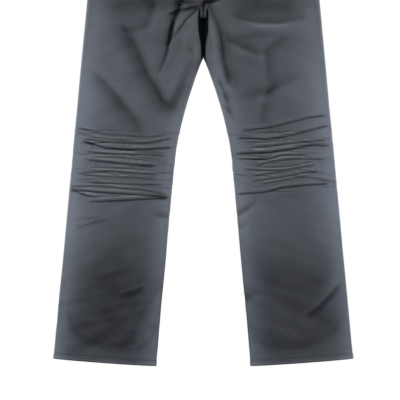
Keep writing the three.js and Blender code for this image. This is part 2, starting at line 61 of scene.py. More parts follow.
# ---- The garment's form, as the frame has it ------------------------------------------
RISE = 0.270
KNEE_DROP = 0.354
HEM_Z = -1.083
WAIST_HALF = 0.214
HIP_SPRING = 0.026
SPLAY = 0.0932
LEG_WIDTH = 0.234
THIGH_EXTRA = 0.088
THIGH_TAPER = 1.7
THIGH_GAP = -0.0001  # each thigh edge to the centre line where the legs touch
PARTING_SOFTNESS = 0.0007  # how softly the thighs part
HEM_TILT = 0.073
WAIST_DEPTH = 0.038
BELLY_DEPTH = 0.046
SEAT_DEPTH = 0.062
THIGH_DEPTH = {"front": 0.040, "back": 0.046}
KNEE_DEPTH = 0.030
HEM_DEPTH = 0.025
CLOTH = 0.0012
SEAM_GAP = 0.0001
BAND_HEIGHT = 0.038
BAND_FOOT = -0.0384
BAND_WALL = 0.0032
BAND_PROUD = 0.0008
BAND_OVERLAP = 0.036
BAND_RAMP = 0.014
SCOOP_WIDTH = 0.104
SCOOP_DEPTH = 0.088
YOKE_CENTRE = 0.104
YOKE_SIDE = 0.078
YOKE_LAP = 0.0015  # the yoke's foot lies over the panel's top by this

# rows of stitches, from the edge or seam that each follows
BAND_ROW = 0.0030
CENTRE_ROW = 0.0040
CENTRE_ROW_FOOT = -0.235
SEAT_ROWS = (0.0030, 0.0090)
YOKE_ROWS = (0.0025, 0.0085)
SCOOP_ROWS = (0.0020, 0.0080)
POCKET_ROWS = (0.0016, 0.0076)
POCKET_HEM_ROWS = (0.0020, 0.0155)
HEM_ROW = 0.0125

PANEL_TOP = BAND_FOOT + 0.0012
CROTCH_Z = -RISE
CURVE_Z = -0.196
BELLY_Z = -0.200
LAP_Z = float(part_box("front_panel_lap_left")[0].z)
KNEE_TOP_Z = float(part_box("front_panel_knee_left")[1].z)
KNEE_END_Z = float(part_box("front_panel_knee_left")[0].z)
KNEE_Z = (KNEE_TOP_Z + KNEE_END_Z) / 2
SPLIT_Z = -0.470  # mid thigh, where the upper and the lower skin of a leg meet
PART_Z = -0.400  # where the thighs' inner edges leave each other
SIDES = {"left": 1.0, "right": -1.0}


def part(z, start, end):
    return np.clip((z - start) / (end - start), 0.0, 1.0)


def ease(t):
    t = np.clip(t, 0.0, 1.0)
    return t * t * (3 - 2 * t)


def mix(a, b, t):
    return a + (b - a) * t


def bell(away, width):
    """One on a line, falling off softly on both sides of it."""
    return np.exp(-((away / width) ** 2))


def outer_x(z):
    s = np.clip(-z / RISE, 0.0, 1.0)
    return WAIST_HALF + HIP_SPRING * (1 - (1 - s) ** 2) - SPLAY * z


def inner_x(z):
    run = np.clip((CROTCH_Z - z) / KNEE_DROP, 0.0, 1.0)
    parted = outer_x(z) - LEG_WIDTH - THIGH_EXTRA * (1 - run) ** THIGH_TAPER
    corner = 0.5 * (parted + THIGH_GAP + np.hypot(parted - THIGH_GAP, PARTING_SOFTNESS))
    return np.where(z > CROTCH_Z, THIGH_GAP, corner)


def half_depth(face, z):
    front = face == "front"
    seat = BELLY_DEPTH if front else SEAT_DEPTH
    thigh = THIGH_DEPTH[face]
    t = part(z, 0.0, BELLY_Z)
    top = mix(WAIST_DEPTH, seat, t if front else ease(t))
    lap = mix(seat, thigh, ease(part(z, BELLY_Z, LAP_Z)))
    low = mix(thigh, KNEE_DEPTH, ease(part(z, LAP_Z, KNEE_Z)))
    shin = mix(KNEE_DEPTH, HEM_DEPTH, part(z, KNEE_Z, HEM_Z))
    return np.select([z > BELLY_Z, z > LAP_Z, z > KNEE_Z], [top, lap, low], shin)


def section(face, z):
    """(first angle, last angle, inner x, reach, depth) of the section at z."""
    depth = half_depth(face, z)
    limit = math.pi / 2 - np.arcsin(np.minimum(1, SEAM_GAP / 2 / depth))
    first = np.maximum(np.arcsin(-part(z, CURVE_Z, CROTCH_Z)), -limit)
    low = inner_x(z)
    reach = (outer_x(z) - low) / (1 - np.sin(first))
    return first, limit, low, reach, depth


def skin(face, side, z, f, off=0.0):
    """Points and outward normals on the form. f runs from the inner edge, 0, to the side seam, 1."""
    z, f, off = np.broadcast_arrays(z, f, off)
    first, limit, low, reach, depth = section(face, z)
    angle = mix(first, limit, f)
    x = low + reach * (np.sin(angle) - np.sin(first))
    y = depth * np.cos(angle)
    nx, ny = np.sin(angle) / reach, np.cos(angle) / depth
    length = np.hypot(nx, ny)
    nx, ny = nx / length, ny / length
    facing = -1.0 if face == "front" else 1.0
    middle = (inner_x(z) + outer_x(z)) / 2
    shift = HEM_TILT * (x - middle) * part(z, KNEE_END_Z, HEM_Z)
    points = np.stack([SIDES[side] * (x + nx * off), facing * (y + ny * off), z + shift], -1)
    normals = np.stack([SIDES[side] * nx, facing * ny, np.zeros_like(z)], -1)
    return points, normals


def fraction_at(face, z, x):
    """The f at which the section at z stands at x, on the left side."""
    first, limit, low, reach, _ = section(face, z)
    angle = np.arcsin(np.clip((x - low) / reach + np.sin(first), -1, 1))
    return (angle - first) / (limit - first)


# ---- Camera, light and ground ---------------------------------------------------------
VIEW_WIDTH = 0.908
VIEW_CENTRE = Vector((-0.0075, 0.0, -0.7149))
VIEW_DISTANCE = 4.0
SENSOR = 36.0
WORLD_FRONT = 0.06
WORLD_SIDE = 0.52
FLOOR_REACH = 2.1
FLOOR_DROP = 0.33


def aim(obj, place, target):
    obj.location = place
    obj.rotation_euler = (Vector(target) - Vector(place)).to_track_quat("-Z", "Y").to_euler()


def place_object(name, data):
    obj = bpy.data.objects.new(name, data)
    SCENE.collection.objects.link(obj)
    return obj


def add_camera():
    data = bpy.data.cameras.new("camera")
    data.sensor_width = SENSOR
    data.lens = SENSOR * VIEW_DISTANCE / VIEW_WIDTH
    SCENE.camera = place_object("camera", data)
    aim(SCENE.camera, VIEW_CENTRE + Vector((0, -VIEW_DISTANCE, 0)), VIEW_CENTRE)


def add_softbox(name, place, width, height, power, target=(0.0, 0.0, -0.65)):
    data = bpy.data.lights.new(name, "AREA")
    data.shape = "RECTANGLE"
    data.size = width
    data.size_y = height
    data.energy = power
    aim(place_object(name, data), place, target)


def feed(tree, socket, value):
    """Link a socket to the input, or set its value. A colour is given as three numbers."""
    if isinstance(value, bpy.types.NodeSocket):
        tree.links.new(value, socket)
    else:
        socket.default_value = (*value, 1) if socket.type == "RGBA" else value


def add(tree, kind, **inputs):
    """A node with its inputs fed; an underscore in a name stands for a space."""
    made = tree.nodes.new(f"ShaderNode{kind}")
    for name, value in inputs.items():
        feed(tree, made.inputs[name.replace("_", " ")], value)
    return made


def add_math(tree, operation, *values, clamp=False):
    made = tree.nodes.new("ShaderNodeMath")
    made.operation = operation
    made.use_clamp = clamp
    for socket, value in zip(made.inputs, values):
        feed(tree, socket, value)
    return made.outputs[0]


def add_mix(tree, amount, first, second, mode="MIX"):
    """A blend of two colours."""
    made = tree.nodes.new("ShaderNodeMix")
    made.data_type = "RGBA"
    made.blend_type = mode
    feed(tree, made.inputs["Factor"], amount)
    feed(tree, made.inputs[6], first)
    feed(tree, made.inputs[7], second)
    return made.outputs[2]


def add_world():
    """A white room: bright above, left and right, dim in front of and behind the garment."""
    world = bpy.data.worlds.new("studio")
    SCENE.world = world
    world.use_nodes = True
    tree = world.node_tree
    tree.nodes.clear()
    direction = add(tree, "TexCoord").outputs["Generated"]
    split = add(tree, "SeparateXYZ", Vector=direction)
    sideways = add_math(tree, "ABSOLUTE", split.outputs["X"])
    upward = add_math(tree, "MULTIPLY", split.outputs["Z"], 0.85)
    grow = add(
        tree, "MapRange", Value=add_math(tree, "MAXIMUM", sideways, upward),
        From_Min=0.30, From_Max=0.95, To_Min=WORLD_FRONT, To_Max=WORLD_SIDE,
    )
    grow.interpolation_type = "SMOOTHSTEP"
    lit = add(tree, "Background", Color=(0.86, 0.93, 1.0), Strength=grow.outputs["Result"])
    seen = add(tree, "Background", Color=(1.0, 1.0, 1.0))
    choose = add(tree, "MixShader")
    feed(tree, choose.inputs[0], add(tree, "LightPath").outputs["Is Camera Ray"])
    feed(tree, choose.inputs[1], lit.outputs[0])
    feed(tree, choose.inputs[2], seen.outputs[0])
    add(tree, "OutputWorld", Surface=choose.outputs[0])


def new_material(name):
    """A material, its node tree and its shader."""
    material = bpy.data.materials.new(name)
    material.use_nodes = True
    return material, material.node_tree, material.node_tree.nodes["Principled BSDF"]


def set_shader(tree, shader, **inputs):
    for name, value in inputs.items():
        feed(tree, shader.inputs[name.replace("_", " ")], value)


def add_floor():
    z = HEM_Z - FLOOR_DROP
    mesh = bpy.data.meshes.new("floor")
    corners = [(FLOOR_REACH * x, FLOOR_REACH * y, z) for x, y in ((-1, -1), (1, -1), (1, 1), (-1, 1))]
    mesh.from_pydata(corners, [], [(0, 1, 2, 3)])
    material, tree, shader = new_material("pale_floor")
    set_shader(tree, shader, Base_Color=(0.86, 0.86, 0.86), Roughness=0.7)
    mesh.materials.append(material)
    floor = place_object("floor", mesh)


add_camera()
add_world()
add_floor()
for facing in (-1, 1):
    label = "front" if facing < 0 else "back"
    for across in (-1, 1):
        spot = (1.9 * across, 1.35 * facing, -0.5)
        add_softbox(f"{label}_softbox_{across + 1}", spot, 1.3, 2.0, 19)
    add_softbox(f"{label}_top_softbox", (-0.2, 1.2 * facing, 1.9), 1.4, 0.6, 62)


# ---- Materials ------------------------------------------------------------------------
def attribute(tree, name):
    made = add(tree, "Attribute")
    made.attribute_name = name
    return made.outputs["Fac"]


def cloth_uv(tree):
    """Metres of cloth, so that a weave keeps its size."""
    made = add(tree, "UVMap")
    made.uv_map = "cloth"
    return made.outputs["UV"]


def twill_material():
    """Fine satin twill under a thin coating. The skin's own attributes give how light it is, with painted
    shade in folds, creases, seams and grooves and painted highlights; its wear, with more painted
    highlights; and the painted rim light along its seams.
    """
    # the three colours: near black for the deepest painted shade, the cloth's own colour, and a lighter one
    # mixed in for wear and for painted highlights
    dark, cloth_tone, worn_and_lit = (0.0038, 0.0050, 0.0092), (0.076, 0.080, 0.0920), (0.17, 0.18, 0.20)
    # a paler blue, mixed in for the painted rim light along the seams
    rim_light = (0.150, 0.184, 0.240)
    material, tree, shader = new_material("coated_twill")
    uv = cloth_uv(tree)
    # how light the cloth is at each point: its tone, darkened by painted shade and lightened by painted
    # highlights
    fade_and_shade = attribute(tree, "fade_and_shade")

    # uneven dye, in clouds a few centimetres across and streaks along the yarn
    cloud = add(tree, "TexNoise", Vector=uv, Scale=22.0, Detail=4.0, Roughness=0.55).outputs["Fac"]
    stretch = add(tree, "Mapping", Vector=uv, Scale=(1500.0, 70.0, 1.0)).outputs["Vector"]
    yarn = add(tree, "TexNoise", Vector=stretch, Scale=1.0, Detail=2.0).outputs["Fac"]
    uneven = add_math(tree, "MULTIPLY_ADD", cloud, 0.5, yarn)
    spread = add(tree, "MapRange", Value=uneven, From_Min=0.55, From_Max=0.95, To_Min=-0.11, To_Max=0.11)
    amount = add_math(tree, "ADD", fade_and_shade, spread.outputs["Result"], clamp=True)
    colour = add_mix(tree, amount, dark, cloth_tone)
    colour = add_mix(tree, attribute(tree, "wear_and_highlight"), colour, worn_and_lit)
    colour = add_mix(tree, attribute(tree, "rim_light"), colour, rim_light)

    # diagonal twill line, about twenty to the centimetre, with the yarns' own unevenness
    turn = add(tree, "Mapping", Vector=uv, Rotation=(0.0, 0.0, math.radians(63))).outputs["Vector"]
    twill = add(tree, "TexWave", Vector=turn, Scale=628.0, Distortion=0.5, Detail=1.0, Detail_Scale=2.0)
    weave = add(tree, "Bump", Height=twill.outputs["Fac"], Strength=0.22, Distance=0.0002)
    slub = add(tree, "Bump", Height=cloud, Normal=weave.outputs["Normal"], Strength=0.10, Distance=0.0006)
    gloss = add(tree, "MapRange", Value=cloud, To_Min=0.41, To_Max=0.55)

    # the deepest folds see no light to reflect
    depth = add(tree, "MapRange", Value=fade_and_shade, From_Min=-0.45, From_Max=0.20, To_Min=0.08).outputs["Result"]
    set_shader(
        tree, shader, Base_Color=colour, Normal=slub.outputs["Normal"], Roughness=gloss.outputs["Result"],
        Coat_Weight=add_math(tree, "MULTIPLY", depth, 0.20), Coat_Roughness=0.38, Coat_IOR=1.35,
        Coat_Tint=(0.90, 0.95, 1.0), Specular_IOR_Level=add_math(tree, "MULTIPLY", depth, 0.42),
        Sheen_Weight=add_math(tree, "MULTIPLY", depth, 0.04), Sheen_Roughness=0.35,
        Sheen_Tint=(0.82, 0.90, 1.0),
    )
    return material


def thread_material():
    """Twisted polyester thread, a little lighter than the cloth."""
    material, tree, shader = new_material("sewing_thread")
    place = add(tree, "TexCoord").outputs["Object"]
    spot = add(tree, "TexNoise", Vector=place, Scale=900.0, Detail=2.0).outputs["Fac"]
    colour = add_mix(tree, spot, (0.070, 0.073, 0.082), (0.150, 0.157, 0.172))
    twist = add(tree, "TexWave", Vector=place, Scale=700.0, Distortion=1.0).outputs["Fac"]
    bump = add(tree, "Bump", Height=twist, Strength=0.3, Distance=0.0001).outputs["Normal"]
    set_shader(tree, shader, Base_Color=colour, Normal=bump, Roughness=0.62, Sheen_Weight=0.3)
    return material


def lining_material():
    """Plain-woven cotton pocketing, near black."""
    material, tree, shader = new_material("pocket_lining")
    uv = cloth_uv(tree)
    light, dim = (0.046, 0.047, 0.051), (0.030, 0.031, 0.034)
    weave = add(tree, "TexChecker", Vector=uv, Scale=2400.0, Color1=dim, Color2=light)
    cloud = add(tree, "TexNoise", Vector=uv, Scale=60.0, Detail=5.0).outputs["Color"]
    colour = add_mix(tree, 0.5, weave.outputs["Color"], cloud, "MULTIPLY")
    bump = add(tree, "Bump", Height=weave.outputs["Fac"], Strength=0.2, Distance=0.0002).outputs["Normal"]
    set_shader(tree, shader, Base_Color=colour, Normal=bump, Roughness=0.85, Sheen_Weight=0.2)
    return material


def tape_material():
    """Herringbone zip tape in black polyester."""
    material, tree, shader = new_material("zip_tape")
    wave = add(tree, "TexWave", Vector=cloth_uv(tree), Scale=500.0, Distortion=3.0, Detail=2.0)
    zigzag = wave.outputs["Fac"]
    colour = add_mix(tree, zigzag, (0.016, 0.017, 0.019), (0.040, 0.041, 0.045))
    bump = add(tree, "Bump", Height=zigzag, Strength=0.3, Distance=0.0002).outputs["Normal"]
    set_shader(tree, shader, Base_Color=colour, Normal=bump, Roughness=0.7)
    return material


def brass_material():
    """Dark antique brass: tarnished in patches, brighter where it is rubbed, finely scratched."""
    material, tree, shader = new_material("antique_brass")
    place = add(tree, "TexCoord").outputs["Object"]
    patch = add(tree, "TexNoise", Vector=place, Scale=420.0, Detail=6.0, Roughness=0.6).outputs["Fac"]
    rubbed = add(tree, "MapRange", Value=patch, From_Min=0.35, From_Max=0.68).outputs["Result"]
    colour = add_mix(tree, rubbed, (0.20, 0.145, 0.085), (0.46, 0.34, 0.19))
    gloss = add(tree, "MapRange", Value=rubbed, To_Min=0.46, To_Max=0.27).outputs["Result"]
    stretch = add(tree, "Mapping", Vector=place, Scale=(300.0, 300.0, 4200.0)).outputs["Vector"]
    scratch = add(tree, "TexNoise", Vector=stretch, Scale=1.0, Detail=3.0).outputs["Fac"]
    bump = add(tree, "Bump", Height=scratch, Strength=0.12, Distance=0.0001).outputs["Normal"]
    set_shader(tree, shader, Base_Color=colour, Roughness=gloss, Normal=bump, Metallic=1.0)
    return material


TWILL = twill_material()
THREAD = thread_material()
LINING = lining_material()
TAPE = tape_material()
BRASS = brass_material()


# ---- Relief: soft folds and creases ---------------------------------------------------
def smooth_line(across, line):
    """Height of a crease at each across, through its listed points, without corners."""
    xs = np.array([p[0] for p in line])
    ys = np.array([p[1] for p in line])
    order = np.argsort(xs)
    xs, ys = xs[order], ys[order]
    nudge = 0.035
    samples = [np.interp(across + k * nudge, xs, ys) for k in (-1.0, -0.5, 0.0, 0.5, 1.0)]
    return sum(samples) / len(samples), xs[0], xs[-1]


def crease(across, drop, line, depth, width):
    """Relief and shade of a tuck along the line: the cloth rolls over and drops into a sharp valley."""
    level, start, end = smooth_line(across, line)
    taper = 0.07
    fade_and_shade = ease((across - start) / taper + 0.6) * ease((end - across) / taper + 0.6)
    away = drop - level
    valley = np.exp(np.where(away < 0, away / (0.8 * width), -away / (2.1 * width)))
    roll = bell(away + 2.5 * width, 1.7 * width)
    return depth * fade_and_shade * (0.55 * roll - valley), fade_and_shade * np.exp(-np.abs(away) / (1.2 * width))


# Creases of each knee: (points, depth, width). A point is (share of the way from the side seam
# to the inseam, metres below the knee line).
RIGHT_KNEE = [
    ([(0.04, -0.072), (0.30, -0.057), (0.54, -0.053), (0.76, -0.052), (0.86, -0.056)], 1.7, 1.5),
    ([(0.05, -0.060), (0.22, -0.049), (0.40, -0.044), (0.56, -0.043)], 1.5, 1.3),
    ([(0.12, -0.046), (0.40, -0.038), (0.72, -0.037), (0.92, -0.048)], 2.4, 1.6),
    ([(0.10, -0.042), (0.30, -0.027), (0.52, -0.023), (0.72, -0.023), (0.94, -0.028)], 3.0, 1.8),
    ([(0.15, -0.018), (0.40, -0.012), (0.70, -0.011), (0.88, -0.009)], 2.3, 1.4),
    ([(0.22, -0.005), (0.41, -0.006), (0.56, -0.003), (0.71, 0.001)], 1.5, 1.2),
    ([(0.16, 0.000), (0.42, 0.007), (0.56, 0.010), (0.80, 0.014)], 2.7, 1.7),
    ([(0.24, 0.017), (0.52, 0.020), (0.78, 0.024)], 1.2, 1.3),
    ([(0.08, 0.031), (0.35, 0.026), (0.65, 0.031), (0.82, 0.033)], 2.2, 1.5),
    ([(0.12, 0.034), (0.43, 0.040), (0.65, 0.041), (0.82, 0.046)], 2.0, 1.4),
    ([(0.20, 0.052), (0.64, 0.056), (0.88, 0.056)], 2.0, 1.5),
    ([(0.02, 0.060), (0.30, 0.060), (0.51, 0.065), (0.68, 0.067), (0.92, 0.077)], 2.0, 1.5),
    ([(0.03, 0.066), (0.27, 0.073), (0.55, 0.077), (0.95, 0.084)], 2.6, 1.7),
    ([(0.03, 0.068), (0.19, 0.082), (0.29, 0.086)], 2.2, 1.5),
    ([(0.23, 0.095), (0.44, 0.093), (0.66, 0.090), (0.95, 0.087)], 3.0, 2.0),
]
LEFT_KNEE = [
    ([(0.83, -0.066), (0.63, -0.071), (0.47, -0.079), (0.22, -0.095), (0.06, -0.100)], 2.7, 2.0),
    ([(0.80, -0.060), (0.58, -0.063), (0.41, -0.063)], 1.4, 1.4),
    ([(0.90, -0.049), (0.63, -0.046), (0.41, -0.054), (0.27, -0.063), (0.05, -0.077)], 2.8, 1.8),
    ([(0.84, -0.041), (0.66, -0.039)], 1.2, 1.2),
    ([(0.75, -0.029), (0.53, -0.033), (0.35, -0.038), (0.08, -0.045)], 2.3, 1.5),
    ([(0.93, -0.014), (0.66, -0.016), (0.43, -0.023), (0.21, -0.034), (0.06, -0.032)], 3.1, 2.0),
    ([(0.92, -0.001), (0.65, -0.001), (0.51, -0.010), (0.28, -0.011)], 2.4, 1.5),
    ([(0.76, 0.013), (0.58, 0.003), (0.44, -0.001), (0.12, -0.001)], 2.2, 1.5),
    ([(0.86, 0.022), (0.66, 0.025), (0.53, 0.023)], 2.2, 1.3),
    ([(0.69, 0.017), (0.55, 0.017), (0.41, 0.014), (0.24, 0.005)], 1.7, 1.3),
    ([(0.78, 0.036), (0.59, 0.030), (0.45, 0.022), (0.21, 0.012)], 2.1, 1.5),
    ([(0.80, 0.048), (0.56, 0.041), (0.38, 0.032), (0.20, 0.026)], 2.1, 1.5),
    ([(0.72, 0.055), (0.43, 0.043), (0.30, 0.038)], 1.8, 1.4),
    ([(0.96, 0.077), (0.70, 0.073), (0.54, 0.063), (0.32, 0.057), (0.10, 0.054)], 2.9, 1.9),
    ([(0.25, 0.040), (0.08, 0.046)], 1.5, 1.3),
]
MM = 0.001
CREASE_SHADE = 0.27  # how much darker a crease 1 mm deep is
FINE_CREASES = 44  # invented short wrinkles of each knee
FOLD_SHADE = 1.4  # strength of the folds' own shades


def fine_creases(side):
    """Short fine wrinkles between the deep creases, more of them where those run out."""
    rng = np.random.default_rng(21 if side == "left" else 22)
    slope = -0.016 if side == "left" else 0.012
    made = []
    for _ in range(FINE_CREASES):
        middle = rng.choice([0.16, 0.5, 0.84], p=[0.36, 0.28, 0.36]) + rng.normal(0, 0.09)
        half = rng.uniform(0.05, 0.15)
        drop = rng.uniform(-0.070, 0.088)
        tilt = slope * 2 * half + rng.normal(0, 0.004)
        bow = rng.normal(0, 0.0012)
        line = [(middle - half, drop - tilt / 2), (middle, drop + bow), (middle + half, drop + tilt / 2)]
        made.append((line, rng.uniform(0.45, 1.0), rng.uniform(0.95, 1.3)))
    return made


def knee_relief(side, face, across, drop):
    """Relief and shade of the knee. The back has the same cloth's creases, shallower and shifted."""
    creases = (LEFT_KNEE if side == "left" else RIGHT_KNEE) + fine_creases(side)
    total = np.zeros_like(across)
    shade = np.zeros_like(across)
    for line, depth, width in creases:
        if face == "back":
            line = [(1.0 - a, 0.9 * d + 0.004) for a, d in line]
            depth, width = 0.8 * depth, 1.4 * width
        rise, dark = crease(across, drop, line, depth * MM, width * MM)
        total += rise
        shade += CREASE_SHADE * depth * dark
    return total, np.minimum(shade, 0.9)


def ridge(x, z, line, width):
    """Unit height and shade of a soft fold along a line of (x, z) points, fading towards its ends.

    The shade is soft on the line's left. On its right it is sharp, with a lighter lip.
    """
    best = np.full(x.shape, 1e9)
    along = np.zeros(x.shape)
    turned = np.zeros(x.shape)
    lengths = [math.dist(a, b) for a, b in zip(line, line[1:])]
    total = sum(lengths)
    done = 0.0
    for (ax, az), (bx, bz), length in zip(line, line[1:], lengths):
        t = np.clip(((x - ax) * (bx - ax) + (z - az) * (bz - az)) / length**2, 0, 1)
        away = np.hypot(x - mix(ax, bx, t), z - mix(az, bz, t))
        nearer = away < best
        best = np.where(nearer, away, best)
        turned = np.where(nearer, (bx - ax) * (z - az) - (bz - az) * (x - ax), turned)
        along = np.where(nearer, (done + t * length) / total, along)
        done += length
    swell = np.sin(np.pi * np.clip(0.16 + 0.70 * along, 0, 1)) ** 0.7
    soft_side = turned > 0
    dark = bell(best, np.where(soft_side, 2.1 * width, 0.85 * width))
    lip = bell(best - 2.0 * width, 0.9 * width) * ~soft_side
    return swell * bell(best, width), swell * (dark - 0.22 * lip)


# Soft folds of each leg: (points as (x from the centre line, z), height mm, width mm, shade).
# A negative height sinks in; a negative shade is darker.
RIGHT_FOLDS = [
    ([(0.045, -0.250), (0.058, -0.292), (0.070, -0.325), (0.077, -0.360)], -6.5, 5.0, -0.70),
    ([(0.066, -0.315), (0.074, -0.350), (0.084, -0.390), (0.099, -0.426)], -4.5, 3.6, -0.55),
    ([(0.078, -0.296), (0.040, -0.284), (0.012, -0.276)], -3.5, 3.0, -0.62),
    ([(0.050, -0.268), (0.016, -0.271)], -2.0, 7.0, -0.50),
    ([(0.012, -0.284), (0.037, -0.307), (0.053, -0.330), (0.068, -0.351)], -3.0, 1.8, -0.75),
    ([(0.024, -0.310), (0.044, -0.345), (0.056, -0.385)], 2.4, 9.0, 0.08),
    ([(0.028, -0.370), (0.026, -0.388)], -2.0, 4.0, -0.30),
    (
        [(0.165, -0.345), (0.143, -0.393), (0.128, -0.433), (0.108, -0.463), (0.093, -0.492),
         (0.075, -0.499), (0.058, -0.468), (0.044, -0.438), (0.033, -0.412)],
        -5.0, 12.0, -0.42,
    ),
    ([(0.195, -0.360), (0.168, -0.425), (0.138, -0.480), (0.112, -0.525)], 3.0, 18.0, 0.10),
    ([(0.112, -0.395), (0.084, -0.445)], 2.6, 15.0, 0.06),
    ([(0.236, -0.436), (0.201, -0.474), (0.181, -0.500), (0.161, -0.524), (0.144, -0.548)],
     -3.6, 10.0, -0.34),
    ([(0.111, -0.268), (0.119, -0.305), (0.130, -0.326), (0.149, -0.332), (0.175, -0.331)],
     -2.6, 7.5, -0.24),
    ([(0.070, -0.272), (0.215, -0.276)], -0.5, 22.0, -0.26),
    ([(0.118, -0.330), (0.108, -0.345)], 1.2, 3.0, 0.12),
    ([(0.282, -0.776), (0.242, -0.764), (0.222, -0.759)], -2.2, 2.6, -0.40),
    ([(0.298, -0.758), (0.236, -0.753)], -1.0, 2.4, -0.20),
    ([(0.078, -0.754), (0.110, -0.747)], -2.0, 5.0, -0.30),
    ([(0.180, -0.926), (0.156, -0.918), (0.139, -0.910)], -2.2, 4.0, -0.20),
    ([(0.103, -0.905), (0.130, -0.948), (0.145, -0.978), (0.160, -1.009), (0.176, -1.032)],
     -3.2, 12.0, -0.12),
    ([(0.180, -1.040), (0.221, -1.043), (0.272, -1.027), (0.295, -1.001), (0.305, -0.960)],
     -2.2, 12.0, -0.09),
    ([(0.110, -1.004), (0.132, -1.034), (0.170, -1.050)], -2.6, 7.0, -0.12),
    ([(0.130, -1.010), (0.115, -1.040)], 2.0, 12.0, 0.10),
    ([(0.250, -0.880), (0.225, -0.960), (0.235, -1.020)], 1.6, 22.0, 0.0),
    ([(0.318, -0.900), (0.330, -1.000)], -1.2, 12.0, -0.10),
]
LEFT_FOLDS = [
    ([(-0.006, -0.268), (0.020, -0.268), (0.040, -0.264)], -3.5, 3.0, -0.60),
    ([(0.008, -0.275), (0.022, -0.300), (0.034, -0.324), (0.042, -0.359), (0.046, -0.398), (0.058, -0.450)],
     -5.0, 7.5, -0.48),
    ([(0.018, -0.320), (0.026, -0.360), (0.030, -0.410)], 2.2, 6.0, 0.10),
    ([(0.080, -0.305), (0.129, -0.316), (0.168, -0.317), (0.216, -0.307)], -3.6, 6.5, -0.30),
    ([(0.078, -0.284), (0.215, -0.282)], -0.8, 19.0, -0.30),
    ([(0.075, -0.334), (0.225, -0.331)], 2.6, 10.0, 0.06),
    ([(0.078, -0.349), (0.138, -0.346)], -0.9, 4.0, -0.12),
    ([(0.060, -0.353), (0.090, -0.372), (0.123, -0.385)], -2.6, 6.5, -0.30),
    ([(0.180, -0.353), (0.161, -0.365), (0.143, -0.380), (0.146, -0.410), (0.145, -0.442)],
     -2.4, 8.0, -0.26),
    ([(0.150, -0.466), (0.142, -0.495), (0.132, -0.530)], -2.0, 7.0, -0.22),
    ([(0.103, -0.481), (0.145, -0.472), (0.168, -0.458), (0.196, -0.446)], -2.6, 8.0, -0.28),
    ([(0.034, -0.444), (0.043, -0.464)], -1.6, 4.0, -0.40),
    ([(0.045, -0.473), (0.055, -0.494)], -1.8, 4.5, -0.45),
    ([(0.051, -0.502), (0.061, -0.525)], -1.6, 4.5, -0.40),
    ([(0.052, -0.425), (0.064, -0.448)], -1.2, 8.0, -0.20),
    ([(0.076, -0.750), (0.095, -0.738), (0.114, -0.724)], -2.6, 5.0, -0.38),
    ([(0.080, -0.778), (0.095, -0.770)], -1.4, 4.5, -0.20),
    ([(0.090, -0.935), (0.108, -0.929)], -1.6, 8.0, -0.18),
    ([(0.314, -0.902), (0.281, -0.938), (0.258, -0.960), (0.238, -0.973)], -2.6, 5.0, -0.16),
    ([(0.300, -0.890), (0.265, -0.925)], 1.8, 12.0, 0.08),
    (
        [(0.104, -0.975), (0.125, -1.020), (0.155, -1.038), (0.205, -1.046),
         (0.256, -1.033), (0.293, -1.016), (0.316, -0.982)],
        -2.2, 12.0, -0.09,
    ),
    ([(0.190, -0.900), (0.215, -0.990)], 1.4, 24.0, 0.0),
]
BACK_FOLDS = [
    ([(0.012, -0.285), (0.060, -0.330), (0.120, -0.372)], -3.2, 8.0, -0.22),
    ([(0.010, -0.310), (0.050, -0.372), (0.096, -0.420)], -2.8, 8.0, -0.20),
    ([(0.016, -0.298), (0.056, -0.352), (0.110, -0.398)], 2.0, 12.0, 0.04),
    ([(0.200, -0.330), (0.150, -0.372), (0.110, -0.430)], -2.4, 14.0, -0.16),
    ([(0.235, -0.420), (0.190, -0.480), (0.150, -0.540)], -2.4, 15.0, -0.16),
    ([(0.240, -0.780), (0.200, -0.880), (0.215, -0.980)], 1.6, 22.0, 0.05),
    ([(0.150, -0.800), (0.170, -0.900), (0.150, -1.040)], -1.6, 20.0, -0.14),
    ([(0.280, -0.900), (0.262, -1.000), (0.275, -1.070)], -1.4, 16.0, -0.12),
]


def waves(x, z, seed, amount):
    """Gentle unevenness of hanging cloth, the same on every run."""
    rng = np.random.default_rng(seed)
    total = np.zeros_like(x)
    count = 9
    for _ in range(count):
        kx, kz = rng.uniform(18, 60), rng.uniform(5, 24)
        turn = rng.uniform(-0.5, 0.5)
        phase = rng.uniform(0, 2 * math.pi)
        total += np.sin(kx * (x + turn * z) + kz * z + phase) * rng.uniform(0.5, 1.0)
    return amount * total / count


def cleft(x, z):
    """The groove where the thighs' inner edges fold in: the share of depth left, and how far in it is, for
    the shadow painted into it, its tongue painted lighter.
    """
    drops = [0.278, 0.284, 0.302, 0.332, 0.362, 0.396, 0.404]
    half = np.interp(-z, drops, [0, 8.5, 11.5, 10.5, 5, 3.8, 0]) * MM
    deep = half > 0.0005
    left = np.clip(x / np.maximum(half, 1e-4), 0, 1) ** 0.9
    tongue = (1 - ease((-z - 0.299) / 0.004)) * (1 - ease((x - 0.0052) / 0.0014))
    inside = (1 - ease((x - half + 0.0006) / 0.0016)) * (1 - tongue) * deep
    return mix(1.0, left, (1 - tongue) * deep), inside - 0.6 * tongue * deep


